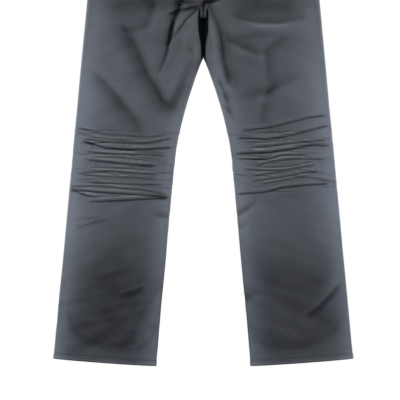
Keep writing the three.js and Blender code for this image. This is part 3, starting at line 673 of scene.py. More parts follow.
def relief(side, face, z, f):
    """Outward relief of a leg's skin in metres, its shade, and how far from the centre each point is."""
    first, limit, low, reach, _ = section(face, z)
    x = low + reach * (np.sin(mix(first, limit, f)) - np.sin(first))
    across = (outer_x(z) - x) / (outer_x(z) - low)
    height, shade = knee_relief(side, face, across, KNEE_Z - z)
    shade = -shade
    folds = BACK_FOLDS if face == "back" else (LEFT_FOLDS if side == "left" else RIGHT_FOLDS)
    for line, rise, width, tone in folds:
        bump, dark = ridge(x, z, line, width * MM)
        height = height + 0.7 * rise * MM * bump
        shade = shade + FOLD_SHADE * tone * dark
    seed = {"front": 3, "back": 7}[face] + (10 if side == "left" else 0)
    height = height + waves(x, z, seed, 0.0016) * part(z, -0.06, -0.24)
    # knees crumple a little in every direction between the creases
    crumple = np.exp(-(((z - KNEE_Z) / 0.085) ** 4))
    height = height + waves(9 * x, 7 * z, seed + 1, 0.0011) * crumple
    # satin is never evenly dark: broad clouds, and small flecks that run across the leg
    clouds = waves(0.9 * x, 1.1 * z, seed + 5, 0.20) * part(z, -0.24, -0.30)
    clouds = clouds + waves(1.6 * x, 7 * z, seed + 6, 0.13)
    shade = shade + clouds * (1.0 if face == "front" else 0.5)
    # the inner edges stay behind the centre plane where the thighs touch
    touching = part(z, -0.20, -0.26) * (1 - part(z, -0.42, -0.45))
    near_middle = 1 - ease((x - low) / 0.010)
    return height * (1 - touching * near_middle), shade, x


# ---- Skins ----------------------------------------------------------------------------
def shell_faces(rows, cols, keep=None, wrap=False):
    """Quads of a closed shell over the kept cells of a grid, with a rim round every edge of them."""
    grid = np.arange(rows * cols).reshape(rows, cols)
    if wrap:
        grid = np.concatenate([grid, grid[:, :1]], 1)
    if keep is None:
        keep = np.ones((rows - 1, grid.shape[1] - 1), bool)
    a, b, c, d = grid[:-1, :-1], grid[:-1, 1:], grid[1:, 1:], grid[1:, :-1]
    outer = np.stack([a[keep], d[keep], c[keep], b[keep]], 1)
    inner = outer[:, [0, 3, 2, 1]] + rows * cols
    beyond = "wrap" if wrap else "constant"
    around = np.pad(np.pad(keep, ((1, 1), (0, 0))), ((0, 0), (1, 1)), mode=beyond)
    neighbours = around[:-2, 1:-1], around[2:, 1:-1], around[1:-1, :-2], around[1:-1, 2:]
    rims = []
    for (start, end), beside in zip(((a, b), (c, d), (d, a), (b, c)), neighbours):
        edge = keep & ~beside
        start, end = start[edge], end[edge]
        rims.append(np.stack([start, end, end + rows * cols, start + rows * cols], 1))
    return np.concatenate([outer, inner, *rims])


def grid_normals(points):
    """Unit normals of a grid of points, from its neighbours."""
    down = np.gradient(points, axis=0)
    over = np.gradient(points, axis=1)
    normal = np.cross(down, over)
    return normal / np.maximum(np.linalg.norm(normal, axis=2, keepdims=True), 1e-12)


def new_object(name, vertices, faces, material):
    mesh = bpy.data.meshes.new(name)
    mesh.from_pydata(vertices, [], faces)
    mesh.materials.append(material)
    mesh.polygons.foreach_set("use_smooth", np.ones(len(mesh.polygons), bool))
    mesh.update()
    return place_object(name, mesh)


def clean(obj):
    """Drop points without faces, and turn every face outward."""
    work = bmesh.new()
    work.from_mesh(obj.data)
    bmesh.ops.delete(work, geom=[v for v in work.verts if not v.link_faces], context="VERTS")
    bmesh.ops.recalc_face_normals(work, faces=work.faces)
    work.to_mesh(obj.data)
    work.free()


def run_along(points, axis):
    """Distance along the grid's rows or columns from their first point."""
    first = np.take(points, [0], axis=axis)
    return np.cumsum(np.linalg.norm(np.diff(points, axis=axis, prepend=first), axis=2), axis=axis)


def shell_piece(name, grids, faces, material=TWILL, looks=None, fall=None):
    """A piece from its outer and inner grids of points and the quads between them.

    looks gives how light it is, with painted shade and highlights; its wear, with painted highlights; and
    its painted rim light. fall is the UV's second value, where it isn't the way down.
    """
    outer = grids[0]
    vertices = np.concatenate([grid.reshape(-1, 3) for grid in grids])
    obj = new_object(name, vertices.tolist(), faces.tolist(), material)
    for label in ("fade_and_shade", "wear_and_highlight", "rim_light"):
        values = ((looks or {}).get(label, 0.0) + np.zeros(outer.shape[:2])).ravel()
        layer = obj.data.attributes.new(label, "FLOAT", "POINT")
        layer.data.foreach_set("value", np.concatenate([values, values]).astype(np.float32))
    fall = run_along(outer, 0) if fall is None else fall
    flat = np.stack([run_along(outer, 1), fall], -1).reshape(-1, 2)
    flat = np.concatenate([flat, flat])
    layer = obj.data.uv_layers.new(name="cloth")
    corner = np.zeros(len(obj.data.loops), np.int64)
    obj.data.loops.foreach_get("vertex_index", corner)
    layer.data.foreach_set("uv", flat[corner].astype(np.float32).ravel())
    clean(obj)
    return obj


def levels(*stops):
    """Heights from the first stop down, each stop giving (z, step used until the next)."""
    out = []
    for (z, step), (below, _) in zip(stops, stops[1:]):
        count = max(1, round((z - below) / step))
        out += [mix(z, below, k / count) for k in range(count)]
    return np.array(out + [stops[-1][0]])


def painted_falloff_of(z):
    """How light the cloth is down the leg, a painted shade: thighs and knees evenly light, lower legs
    darker, hems a little lighter again.
    """
    lower = ease(part(z, -0.722, -0.92))
    amount = 0.72 - 0.56 * lower - 0.11 * part(z, -0.44, -0.36)
    return amount + 0.16 * part(z, HEM_Z + 0.050, HEM_Z)


def rim_light_of(z, out_edge, in_edge):
    """A painted highlight: the paler, bluer bands along side seams and inseams, where the cloth turns
    towards the side lights.
    """
    lower = ease(part(z, -0.76, -0.90))
    wide = mix(0.050, 0.036, lower)
    outer = 0.34 * bell(out_edge, wide) + 0.20 * bell(out_edge, 0.016)
    inner = 0.34 * bell(in_edge, 0.034) * part(z, CROTCH_Z - 0.10, -0.44)
    return (outer + inner) * (1 - 0.30 * lower) * mix(0.22, 1.0, part(z, -0.28, -0.45))


def scoop_x(z):
    """Inner edge of the front pocket's mouth at z, or the side seam below the mouth."""
    t = np.linspace(0, 1, 200)
    side = outer_x(BAND_FOOT)
    past = side + 0.020
    start, bend = side - SCOOP_WIDTH, side - 0.72 * SCOOP_WIDTH
    xs = (1 - t) ** 2 * start + 2 * t * (1 - t) * bend + t**2 * past
    drops = 2 * t * (1 - t) * 0.86 * SCOOP_DEPTH + t**2 * SCOOP_DEPTH
    return np.interp(BAND_FOOT - z, drops, xs)


FLY_ROW_FOOT = -0.176
FLY_ROW_X = 0.038
FLY_ROW_GAP = 0.006
FLY_CURVE = 0.046  # height of the stretch where the fly's rows curve in
FLY_CURVE_TOP = FLY_ROW_FOOT + FLY_CURVE


def fly_row_x(z):
    """The fly's outer row of stitches: straight down, then curving in to the centre seam."""
    run = part(z, FLY_CURVE_TOP, FLY_ROW_FOOT)
    return FLY_ROW_X * np.sqrt(np.clip(1 - run**2, 0, 1))


def hem_groove(z):
    """The shallow groove that the hem's row of stitches lies in."""
    return bell(z - HEM_Z - HEM_ROW, 0.0012)


def panel_extra(side, face, z, x):
    """Height that the finished panel has besides its relief: the hem's fold and its stitch groove."""
    to_hem = z - HEM_Z
    extra = 0.0008 * (1 - ease((to_hem - 0.011) / 0.003)) - 0.0008 * hem_groove(z)
    extra = extra + 0.0003 * bell(to_hem - 0.0055, 0.0016)
    if face == "front" and side == "left":
        # the fly facing's extra ply shows under the left front as far as its curved row of stitches
        row = fly_row_x(z)
        ply = 0.0007 * ease((row + 0.001 - x) / 0.0025) - 0.0004 * bell(x - row, 0.0010)
        extra = extra + ply * (z > FLY_ROW_FOOT)
    return extra


def panel_places(face, zs, cols):
    """z and f over a whole panel, from the waistband or the yoke to the hem."""
    u = np.linspace(0, 1, cols)[None, :]
    if face == "front":
        edge = np.where(zs > BAND_FOOT - SCOOP_DEPTH, scoop_x(zs), np.inf)
        at_scoop = fraction_at(face, zs, np.minimum(edge, outer_x(zs)))
        last = np.where(edge < outer_x(zs), at_scoop, 1.0)
        return np.repeat(zs[:, None], cols, 1), u * last[:, None]
    top = -mix(YOKE_CENTRE, YOKE_SIDE, u)
    t = (zs[:, None] - zs[0]) / (SPLIT_Z - zs[0])
    z = np.where(t < 1, mix(top, SPLIT_Z, np.minimum(t, 1)), zs[:, None])
    return z, np.repeat(u, len(zs), 0)


def edge_shade(z, x, y, out_edge, in_edge):
    """How dark the edges are painted, as shade: the seams' rolled-in rims, and the gap between front and
    back.
    """
    rim = 1.2 * bell(out_edge, 0.0014) + 1.8 * bell(in_edge, 0.0020) * (z < PART_Z)
    gap = bell(y, 0.0013) * (z < -0.03) * ((z < PART_Z - 0.01) | (x > 0.02))
    return 0.5 * rim + 0.55 * gap


def row_shade(side, face, z, x):
    """Painted shade in the grooves of the rows of stitches beside the centre seams and on the fly, and at
    the seam itself.
    """
    seam = 0.55 * bell(x, 0.0012) * (z > CROTCH_Z)
    if side == "right":
        return seam
    row = bell(x - CENTRE_ROW, 0.0010) * (z > CENTRE_ROW_FOOT - 0.001)
    if face == "front":
        away = x - fly_row_x(z)
        row = row + (bell(away, 0.0011) + bell(away + FLY_ROW_GAP, 0.0011)) * (z > FLY_ROW_FOOT)
    return 0.32 * row + seam


def leg_grid(side, face, zs, cols):
    """Outer points, inner points, normals, looks and plain form of a whole panel."""
    z, f = panel_places(face, zs, cols)
    height, shade, x = relief(side, face, z, f)
    out_edge, in_edge, to_hem = outer_x(z) - x, x - inner_x(z), z - HEM_Z
    # seams draw in: the cloth rolls over towards the stitching
    seam = bell(out_edge, 0.0016) + bell(in_edge, 0.0016) * ease(part(z, PART_Z + 0.008, PART_Z - 0.002))
    centre = bell(x, 0.003) * (1 - part(z, CURVE_Z, CROTCH_Z + 0.03))
    height = height - 0.0007 * seam - 0.0009 * centre + panel_extra(side, face, z, x)
    outer, _ = skin(face, side, z, f, height)
    if face == "front":
        left, inside = cleft(x, z)
        outer[..., 1] *= left
        # the groove between the thighs is painted near black as its shadow, its tongue lighter
        shade = shade - 2.0 * inside
    normals = grid_normals(outer) * SIDES[side] * (1 if face == "front" else -1)
    shade = shade - row_shade(side, face, z, x)
    edge_line = edge_shade(z, x, outer[..., 1], out_edge, in_edge)
    # painted highlights on the hem's fold and below its stitch groove; painted shade in the groove and
    # along the hem's bottom edge
    hem_light = 1.5 * bell(to_hem - 0.0040, 0.0018) + 0.7 * bell(to_hem - 0.0098, 0.0012)
    hem_dark = 0.55 * hem_groove(z) + 0.9 * bell(to_hem, 0.0014)
    # raised cloth at the knees is painted lighter: partly wear, partly a painted highlight on the ridges
    rubbed = np.clip(height / 0.0022, 0, 1) * bell(z - KNEE_Z, 0.11)
    # the looks: lightness with painted shade and painted highlights; wear, with painted highlights, on the
    # knees' raised cloth, the hem's fold and beside the side seam; and the painted rim light, weaker where
    # shade is painted
    looks = {
        "fade_and_shade": painted_falloff_of(z) + shade - 0.75 * edge_line - hem_dark + 0.20 * hem_light,
        "wear_and_highlight": 0.08 * rubbed + 0.05 * hem_light + 0.12 * bell(out_edge - 0.0045, 0.0022),
        "rim_light": rim_light_of(z, out_edge, in_edge) * np.clip(1 + 1.6 * shade - 0.8 * edge_line, 0, 1),
    }
    form, _ = skin(face, side, z, f)
    return outer, outer - CLOTH * normals, normals, looks, form


def bend_at_hip(obj):
    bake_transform(obj)


def bend_at_knee(obj):
    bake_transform(obj)


KNEE_REACH = 0.115  # how far above and below the knee line the grid is fine
GRIDS = {"front": (PANEL_TOP, 0.0010, 90), "back": (-(YOKE_CENTRE + YOKE_SIDE) / 2, 0.0020, 62)}


def build_leg(side, face):
    top, fine, cols = GRIDS[face]
    zs = levels(
        (top, 0.0030), (-0.200, 0.0040), (SPLIT_Z, 0.0030), (KNEE_Z + KNEE_REACH, fine),
        (KNEE_Z - KNEE_REACH, 0.0040), (HEM_Z + 0.020, 0.0010), (HEM_Z, 1),
    )
    outer, inner, normals, looks, form = leg_grid(side, face, zs, cols)
    cut = int(np.argmin(np.abs(zs - SPLIT_Z)))
    spans = {"upper": slice(0, cut + 1), "lower": slice(cut, len(zs))}
    for span, rows in spans.items():
        part_looks = {label: values[rows] for label, values in looks.items()}
        name = f"{side}_{face}_{span}"
        faces = shell_faces(*outer[rows].shape[:2])
        if (SIDES[side] > 0) != (face == "front"):
            faces = faces[:, ::-1]
        grids = (outer[rows], inner[rows])
        obj = shell_piece(name, grids, faces, looks=part_looks, fall=outer[rows][..., 2])
        both = np.concatenate([normals[rows].reshape(-1, 3), -normals[rows].reshape(-1, 3)])
        obj.data.normals_split_custom_set_from_vertices(both.tolist())
        if span == "upper":
            names = ["top", "lap"] if face == "front" else ["seat"]
            bend_at_hip(obj)
        else:
            names = ["thigh", "knee", "shin"]
            bend_at_knee(obj)
        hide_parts(*[f"{face}_panel_{n}_{side}" for n in names])


for side in SIDES:
    for face in ("front", "back"):
        build_leg(side, face)

# ---- Waistband --------------------------------------------------------------------------
BUTTON = Vector((-0.004, 0.0, -BAND_HEIGHT / 2))
SLOT_END = 0.0126
SLOT_HALF = 0.0040  # half the opening round the shank
END_TURN = math.asin(BAND_OVERLAP / 2 / WAIST_HALF)
RAMP_TURN = math.asin((BAND_OVERLAP / 2 + BAND_RAMP) / WAIST_HALF)
FULL_TURN = 2 * math.pi
LAP_TURN = END_TURN + 0.005
PLY_GAP = 0.0004
LAP_LIFT = BAND_WALL + PLY_GAP


def waist_point(turn, z, off):
    """Point on the waist and its outward normal; turn is the angle from centre front towards +X."""
    turn, z, off = np.broadcast_arrays(turn, z, off)
    across = outer_x(z)
    depth = np.where(np.cos(turn) > 0, half_depth("front", z), half_depth("back", z))
    nx, ny = np.sin(turn) / across, -np.cos(turn) / depth
    length = np.hypot(nx, ny)
    nx, ny = nx / length, ny / length
    points = np.stack([across * np.sin(turn) + nx * off, -depth * np.cos(turn) + ny * off, z], -1)
    return points, np.stack([nx, ny, np.zeros_like(z)], -1)


def rounded(distance, radius):
    """How far a surface draws back at a rounded edge, for a distance from that edge."""
    t = np.clip(1 - distance / radius, 0, 1)
    return radius * (1 - np.sqrt(1 - t * t))


def band_lift(turn):
    """How far the band's left end stands off, to lie over its right end."""
    return LAP_LIFT * (1 - part(turn, LAP_TURN, RAMP_TURN))


def build_waistband():
    stops = (-END_TURN, LAP_TURN, RAMP_TURN + 0.04, FULL_TURN - 0.12, FULL_TURN + END_TURN)
    counts = (61, 16, 300, 30)
    turns = [np.linspace(a, b, n)[:-1] for a, b, n in zip(stops, stops[1:], counts)]
    turns = np.concatenate([*turns, [FULL_TURN + END_TURN]])
    steps = np.array([0, 0.3, 0.8, 1.5, 2.4, 3.0, 3.6, 5, 8, 12, 15.5]) * MM
    turn = turns[None, :]
    x = WAIST_HALF * np.sin(turn)
    # the buttonhole: round at the shank, closing to a slit
    along = (x - (BUTTON.x + SLOT_HALF)) / (SLOT_END - BUTTON.x - SLOT_HALF)
    round_end = np.sqrt(np.clip(SLOT_HALF**2 - (x - BUTTON.x) ** 2, 0, None))
    slit = mix(SLOT_HALF * 0.55, 0.0005, ease(along))
    half = np.maximum(np.where(x < BUTTON.x + 0.0032, round_end, slit), 0.0003)
    in_tab = turn < END_TURN
    half = np.where(in_tab & (x > BUTTON.x - SLOT_HALF) & (x < SLOT_END), half, 0.0003)
    above = np.repeat(-steps[:, None], len(turns), 1)
    z = np.concatenate([above, BUTTON.z + half, BUTTON.z - half, -BAND_HEIGHT - above[::-1]])
    lift = band_lift(turn)
    edge = np.minimum(-z, z + BAND_HEIGHT)
    to_end = np.minimum(turn + END_TURN, FULL_TURN + END_TURN - turn) * WAIST_HALF
    wall = BAND_WALL - 0.0006
    groove = bell(edge - BAND_ROW, 0.0008)
    puff = 0.0004 * np.sin(np.pi * np.clip((edge - 0.003) / 0.032, 0, 1))
    puff = puff + 0.00025 * np.sin(turn * 61 + 40 * z) * ease(edge / 0.006)
    drawn = rounded(np.minimum(edge, to_end), 0.0012)
    face = BAND_PROUD + lift + puff - 0.0003 * groove - drawn
    outer, _ = waist_point(turn, z, face)
    inner, _ = waist_point(turn, z, BAND_PROUD + lift - wall + drawn + 0.00025 * groove)
    keep = np.ones((z.shape[0] - 1, len(turns) - 1), bool)
    centre_x = (x[0, :-1] + x[0, 1:]) / 2
    hole = in_tab[0, :-1] & (centre_x > BUTTON.x - SLOT_HALF) & (centre_x < SLOT_END)
    keep[len(steps), hole] = False
    # painted shade in the stitch grooves, lighter edges, and the painted rim light towards the sides
    looks = {
        "fade_and_shade": 0.61 - 0.45 * groove,
        "wear_and_highlight": 0.22 * bell(edge, 0.0009),
        "rim_light": 0.15 * bell(outer_x(z) - np.abs(x), 0.050),
    }
    obj = shell_piece("band", (outer, inner), shell_faces(*z.shape, keep), looks=looks)
    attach(obj, "hips")
    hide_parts("waistband")


# ---- Thread -----------------------------------------------------------------------------
def stitch_mesh(name, centres, along, normals, length, radius):
    """Rows of stitches, each a plump little thread that dips into the cloth at both ends."""
    sides = 6
    rings = np.array([(-0.44, 0.45, -0.6), (-0.2, 0.95, 0.25), (0.2, 0.95, 0.25), (0.44, 0.45, -0.6)])
    across = np.cross(along, normals)
    angle = 2 * math.pi * np.arange(sides) / sides
    count = len(centres)
    verts = np.zeros((count, len(rings) * sides + 2, 3))
    for k, (where, girth, rise) in enumerate(rings):
        hub = centres + along * where * length + normals * rise * radius
        for j in range(sides):
            spoke = across * np.cos(angle[j]) + normals * np.sin(angle[j])
            verts[:, k * sides + j] = hub + spoke * girth * radius
    verts[:, -2] = centres - along * 0.5 * length - normals * radius
    verts[:, -1] = centres + along * 0.5 * length - normals * radius
    quads = []
    for k in range(len(rings) - 1):
        for j in range(sides):
            i = (j + 1) % sides
            quads.append((k * sides + j, k * sides + i, (k + 1) * sides + i, (k + 1) * sides + j))
    last = (len(rings) - 1) * sides
    total = verts.shape[1]
    tips = [(total - 2, (j + 1) % sides, j) for j in range(sides)]
    tips += [(total - 1, last + j, last + (j + 1) % sides) for j in range(sides)]
    faces = []
    for n in range(count):
        faces += [tuple(n * total + v for v in face) for face in quads + tips]
    obj = new_object(name, verts.reshape(-1, 3).tolist(), faces, THREAD)
    clean(obj)
    return obj


def even(points, normals, pitch):
    """Centres, directions and normals at even steps along a path of points."""
    points, normals = np.asarray(points), np.asarray(normals)
    run = np.concatenate([[0], np.cumsum(np.linalg.norm(np.diff(points, axis=0), axis=1))])
    count = max(1, int(run[-1] / pitch))
    at = (np.arange(count) + 0.5) * run[-1] / count
    step = 0.25 * pitch
    take = lambda where, what: np.stack([np.interp(where, run, what[:, k]) for k in range(3)], 1)
    centres = take(at, points)
    along = take(at + step, points) - take(at - step, points)
    along /= np.linalg.norm(along, axis=1, keepdims=True)
    face = take(at, normals)
    face -= along * np.sum(face * along, axis=1, keepdims=True)
    face /= np.linalg.norm(face, axis=1, keepdims=True)
    return centres, along, face


PITCH = 0.0034
STITCH = 0.0029
THREAD_RADIUS = 0.00034


def sew(name, paths, pitch=PITCH, length=STITCH, radius=THREAD_RADIUS):
    """One piece of thread from several (points, normals) paths."""
    rows = [even(points, normals, pitch) for points, normals in paths]
    centres, along, normals = (np.concatenate([row[k] for row in rows]) for k in range(3))
    return stitch_mesh(name, centres, along, normals, length, radius)


def on_skin(side, face, z, x, lift=0.0002):
    """Points and normals on the leg's finished surface at heights z and distances x from the centre."""
    z, x = np.broadcast_arrays(np.asarray(z, float), np.asarray(x, float))
    f = fraction_at(face, z, x)
    height, _, _ = relief(side, face, z, f)
    height = height + panel_extra(side, face, z, x) + lift
    points, normals = skin(face, side, z, f, height)
    return points, normals


def band_rows():
    paths = []
    turns = np.linspace(-END_TURN + 0.012, FULL_TURN - END_TURN - 0.02, 700)
    for z in (-BAND_ROW, -BAND_HEIGHT + BAND_ROW):
        paths.append(waist_point(turns, z, BAND_PROUD + band_lift(turns) + 0.0001))
    ends = np.linspace(-BAND_ROW, -BAND_HEIGHT + BAND_ROW, 20)
    paths.append(waist_point(-END_TURN + 0.014, ends, BAND_PROUD + LAP_LIFT + 0.0001))
    return paths


def buttonhole_paths():
    """Short thick stitches side by side round the slit."""
    paths = []
    lift = BAND_PROUD + LAP_LIFT
    for sign in (1, -1):
        for x in np.arange(BUTTON.x + 0.0045, SLOT_END + 0.0006, 0.00055):
            z = BUTTON.z + sign * np.array([0.0008, 0.0034])
            turn = np.arcsin(x / WAIST_HALF)
            paths.append(waist_point(np.array([turn, turn]), z, lift + 0.0002))
    return paths


build_waistband()
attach(sew("band_stitches", band_rows()), "hips")
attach(sew("buttonhole_stitches", buttonhole_paths(), 0.0026, 0.0027, 0.0003), "hips")


# ---- Belt loops ---------------------------------------------------------------------------
LOOP_WIDTH = 0.011
LOOP_ROW = 0.0018
LOOP_FRONT = slice(14, 60)  # the points of its line that stand out in front of the band
FRONT_LOOP_X = float(outer_x(BAND_FOOT)) - SCOOP_WIDTH - 0.008


def loop_profile(foot_out):
    """Middle line of a loop as (out from the band, z): top foot, stand, bottom foot."""
    far = 0.0088
    line = [
        (0.0016, -0.0048), (0.0017, -0.0022), (0.0036, -0.0019), (0.0064, -0.0020), (0.0080, -0.0028),
        (far, -0.0056), (far + 0.0001, -0.0150), (far, -0.0260), (far - 0.0001, -0.0400),
        (0.0080, -0.0448), (0.0062, -0.0466), (0.0040, -0.0470), (foot_out, -0.0470), (foot_out, -0.0435),
    ]
    return np.array(line)


def smooth_path(points, count):
    """A Catmull-Rom curve through the points."""
    padded = np.concatenate([[2 * points[0] - points[1]], points, [2 * points[-1] - points[-2]]])
    out = []
    spans = len(points) - 1
    for t in np.linspace(0, spans, count):
        k = min(int(t), spans - 1)
        u = t - k
        a, b, c, d = padded[k : k + 4]
        square, cube = 2 * a - 5 * b + 4 * c - d, 3 * b - a - 3 * c + d
        out.append(0.5 * (2 * b + (c - a) * u + square * u**2 + cube * u**3))
    return np.array(out)


def build_loop(name, turn):
    face = "front" if math.cos(turn) > 0 else "back"
    low = half_depth(face, -0.048) - half_depth(face, -BAND_HEIGHT)
    foot_out = max(0.0020, float(low) + 0.0016)
    line = smooth_path(loop_profile(foot_out), 90)
    tangent = np.gradient(line, axis=0)
    tangent /= np.linalg.norm(tangent, axis=1, keepdims=True)
    away = np.stack([-tangent[:, 1], tangent[:, 0]], 1)
    base, normal = waist_point(turn, -BAND_HEIGHT, 0.0)
    ground = base * [1, 1, 0]
    over = np.array([-normal[1], normal[0], 0.0])
    up = np.array([0.0, 0.0, 1.0])
    u = np.array([-1, -0.97, -0.9, -0.78, -0.6, -0.35, 0, 0.35, 0.6, 0.78, 0.9, 0.97, 1])
    half = LOOP_WIDTH / 2
    edge = (1 - np.abs(u)) * half
    groove = bell(edge - LOOP_ROW, 0.0007)
    thick = 0.0007 - rounded(edge, 0.0006) - 0.00022 * groove
    across = over * (u * half)[None, :, None]
    grids = []
    for sign in (1, -1):
        flat = line[:, None, :] + away[:, None, :] * (sign * thick)[None, :, None]
        grids.append(ground + normal * flat[..., :1] + across + up * flat[..., 1:])
    # painted shade in the stitch grooves, and lighter edges
    looks = {"fade_and_shade": 0.61 - 0.40 * groove, "wear_and_highlight": 0.25 * bell(edge, 0.0008)}
    obj = shell_piece(f"{name}_strip", grids, shell_faces(len(line), len(u)), looks=looks)
    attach(obj, "hips")
    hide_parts(name)
    paths = []
    front = line[LOOP_FRONT]
    for side in (-1, 1):
        reach = over * side * (half - LOOP_ROW)
        spots = ground + normal * (front[:, :1] + 0.0006) + reach + up * front[:, 1:]
        paths.append((spots, np.repeat(normal[None, :], len(spots), 0)))
    # bar tacks across the top and the foot
    reach = np.array([-0.9, 0.9])[:, None] * over * half
    for z in (-0.0040, -0.0440):
        for k in range(3):
            spots = ground + normal * 0.0090 + reach + up * (z + 0.0005 * k)
            paths.append((spots, np.repeat(normal[None, :], 2, 0)))
    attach(sew(f"{name}_stitches", paths, 0.0030, 0.0026, 0.00028), "hips")


FRONT_TURN = math.asin(FRONT_LOOP_X / WAIST_HALF)
REAR_TURN = math.pi - math.asin((WAIST_HALF - 0.072) / WAIST_HALF)
LOOPS = {
    "belt_loop_front_left": FRONT_TURN,
    "belt_loop_front_right": -FRONT_TURN,
    "belt_loop_rear_left": REAR_TURN,
    "belt_loop_rear_right": -REAR_TURN,
    "belt_loop_centre_back": math.pi,
}
for loop_name, loop_turn in LOOPS.items():
    build_loop(loop_name, loop_turn)


# ---- Yokes, hems, pockets -------------------------------------------------------------------
def build_yoke(side):
    u = np.linspace(0, 1, 62)[None, :]
    v = np.linspace(0, 1, 26)[:, None]
    foot = -mix(YOKE_CENTRE, YOKE_SIDE, u) - YOKE_LAP
    z = mix(PANEL_TOP, foot, v)
    f = u + 0 * z
    height, shade, x = relief(side, "back", z, f)
    to_foot = z - foot
    groove = sum(bell(to_foot - row, 0.0010) for row in YOKE_ROWS)
    lap = 0.0011 * (1 - ease((to_foot - 0.010) / 0.006)) - rounded(to_foot, 0.0009) * 0.8
    centre = bell(x, 0.003)
    height = height + lap + 0.0002 - 0.0003 * groove - 0.0007 * centre
    outer, _ = skin("back", side, z, f, height)
    inner, _ = skin("back", side, z, f, height - CLOTH - 0.3 * MM)
    inner[-1] = skin("back", side, z, f, height - 0.0007)[0][-1]
    # painted shade in the stitch grooves and at the centre seam, a lighter lapped foot, and the painted rim
    # light
    looks = {
        "fade_and_shade": painted_falloff_of(z) + shade - 0.35 * groove - 0.4 * centre,
        "wear_and_highlight": 0.2 * bell(to_foot, 0.0012),
        "rim_light": rim_light_of(z, outer_x(z) - x, x),
    }
    obj = shell_piece(f"{side}_yoke", (outer, inner), shell_faces(*z.shape), looks=looks)
    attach(obj, "hips")
    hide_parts(f"back_yoke_{side}")
    xs = np.linspace(0.002, 0.235, 160)
    paths = []
    f_at = fraction_at("back", np.full_like(xs, -0.09), xs)
    for row in YOKE_ROWS:
        zs = -mix(YOKE_CENTRE, YOKE_SIDE, f_at) - YOKE_LAP + row
        paths.append(on_skin(side, "back", zs, xs, 0.0013))
    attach(sew(f"{side}_yoke_stitches", paths), "hips")


def build_turnup(side):
    """The hem's second ply, turned to the inside and stitched."""
    levels_z = HEM_Z + np.array([0.2, 0.8, 2, 4, 6, 8, 10, 11.5, 12.6, 13.0]) * MM
    f = np.linspace(0, 1, 60)
    rings = []
    for off in (-0.0016, -0.0027):
        halves = []
        for face, across in (("front", f), ("back", f[::-1])):
            z, ff = np.meshgrid(levels_z, across, indexing="ij")
            to_hem = z - HEM_Z
            height, _, _ = relief(side, face, z, ff)
            shape = height + panel_extra(side, face, z, np.full_like(z, 0.2))
            slim = 0.0004 * (1 - ease(to_hem / 0.002)) * (1 if off < -0.002 else -1)
            halves.append(skin(face, side, z, ff, shape + off + slim)[0])
        rings.append(np.concatenate(halves, 1))
    faces = shell_faces(*rings[0].shape[:2], wrap=True)
    obj = shell_piece(f"{side}_turnup", rings, faces, looks={"fade_and_shade": 0.35})
    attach(obj, f"shin_{side}")
    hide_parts(f"hem_turnup_{side}")
    paths = []
    for face in ("front", "back"):
        across = np.linspace(0.006, 0.994, 160)
        z = np.full_like(across, HEM_Z + HEM_ROW)
        height, _, _ = relief(side, face, z, across)
        paths.append(skin(face, side, z, across, height + panel_extra(side, face, z, 0.2) + 0.0002))
    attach(sew(f"{side}_hem_stitches", paths), f"shin_{side}")


def build_pocket_facing(side):
    v = np.linspace(0, 1, 50)[:, None]
    u = np.linspace(0, 1, 44)[None, :]
    z = mix(BAND_FOOT + 0.005, -BAND_HEIGHT - 0.104, v) + 0 * u
    start = fraction_at("front", z, outer_x(BAND_FOOT) - SCOOP_WIDTH - 0.014)
    f = mix(start, 0.998, u)
    swell = waves(2 * u * 0.1 + 0 * z, z, 31, 0.0010)
    outer, _ = skin("front", side, z, f, swell - 0.0026)
    inner, _ = skin("front", side, z, f, swell - 0.0037)
    x = inner_x(z) + (outer_x(z) - inner_x(z)) * f
    # a little darker than the panel, with the panel's painted rim light
    looks = {"fade_and_shade": painted_falloff_of(z) - 0.14, "rim_light": rim_light_of(z, outer_x(z) - x, x)}
    obj = shell_piece(f"{side}_pocket_facing_ply", (outer, inner), shell_faces(*z.shape), looks=looks)
    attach(obj, "hips")
    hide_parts(f"pocket_facing_{side}")


def build_pocket_bag(side):
    """A pouch of two lining plies, joined at the sides and the foot, its mouth open under the band."""
    inner_edge = outer_x(BAND_FOOT) - SCOOP_WIDTH - 0.030
    v = np.linspace(0, 1, 40)[:, None]
    z = mix(BAND_FOOT - 0.002, -0.186, v)
    cols = 40
    u = np.concatenate([np.linspace(0, 1, cols), np.linspace(1, 0, cols)[1:-1]])[None, :]
    back_ply = np.concatenate([np.zeros(cols), np.ones(cols - 2)])[None, :]
    start = fraction_at("front", z, inner_edge)
    corner = 0.06 * ease((v - 0.75) / 0.25)
    f = mix(start + corner, 0.93 - corner, u)
    room = 0.0036 * np.sin(np.pi * u) ** 0.6 * np.sqrt(np.clip(1 - v**3, 0, 1)) + 0.0006
    sag = waves(2 * f, z, 41, 0.0006)
    rings = []
    for wall in (0.0, 0.0005):
        off = -0.0046 - back_ply * room - sag - wall * (1 - 2 * back_ply)
        rings.append(skin("front", side, z + 0 * u, f, off + 0 * z)[0])
    faces = shell_faces(*rings[0].shape[:2], wrap=True)
    obj = shell_piece(f"{side}_pocket_pouch", rings, faces, LINING)
    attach(obj, "hips")
    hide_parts(f"pocket_bag_{side}")


def scoop_rows(side):
    """Two rows of stitches along the pocket's mouth."""
    paths = []
    drops = np.linspace(0.001, SCOOP_DEPTH - 0.006, 120)
    z = BAND_FOOT - drops
    x = scoop_x(z)
    slope = np.gradient(x, z)
    size = np.hypot(1, slope)
    for row in SCOOP_ROWS:
        zs, xs = z + row * slope / size, x - row / size
        inside = (xs < outer_x(zs) - 0.002) & (zs < BAND_FOOT - 0.001)
        paths.append(on_skin(side, "front", zs[inside], xs[inside]))
    return paths


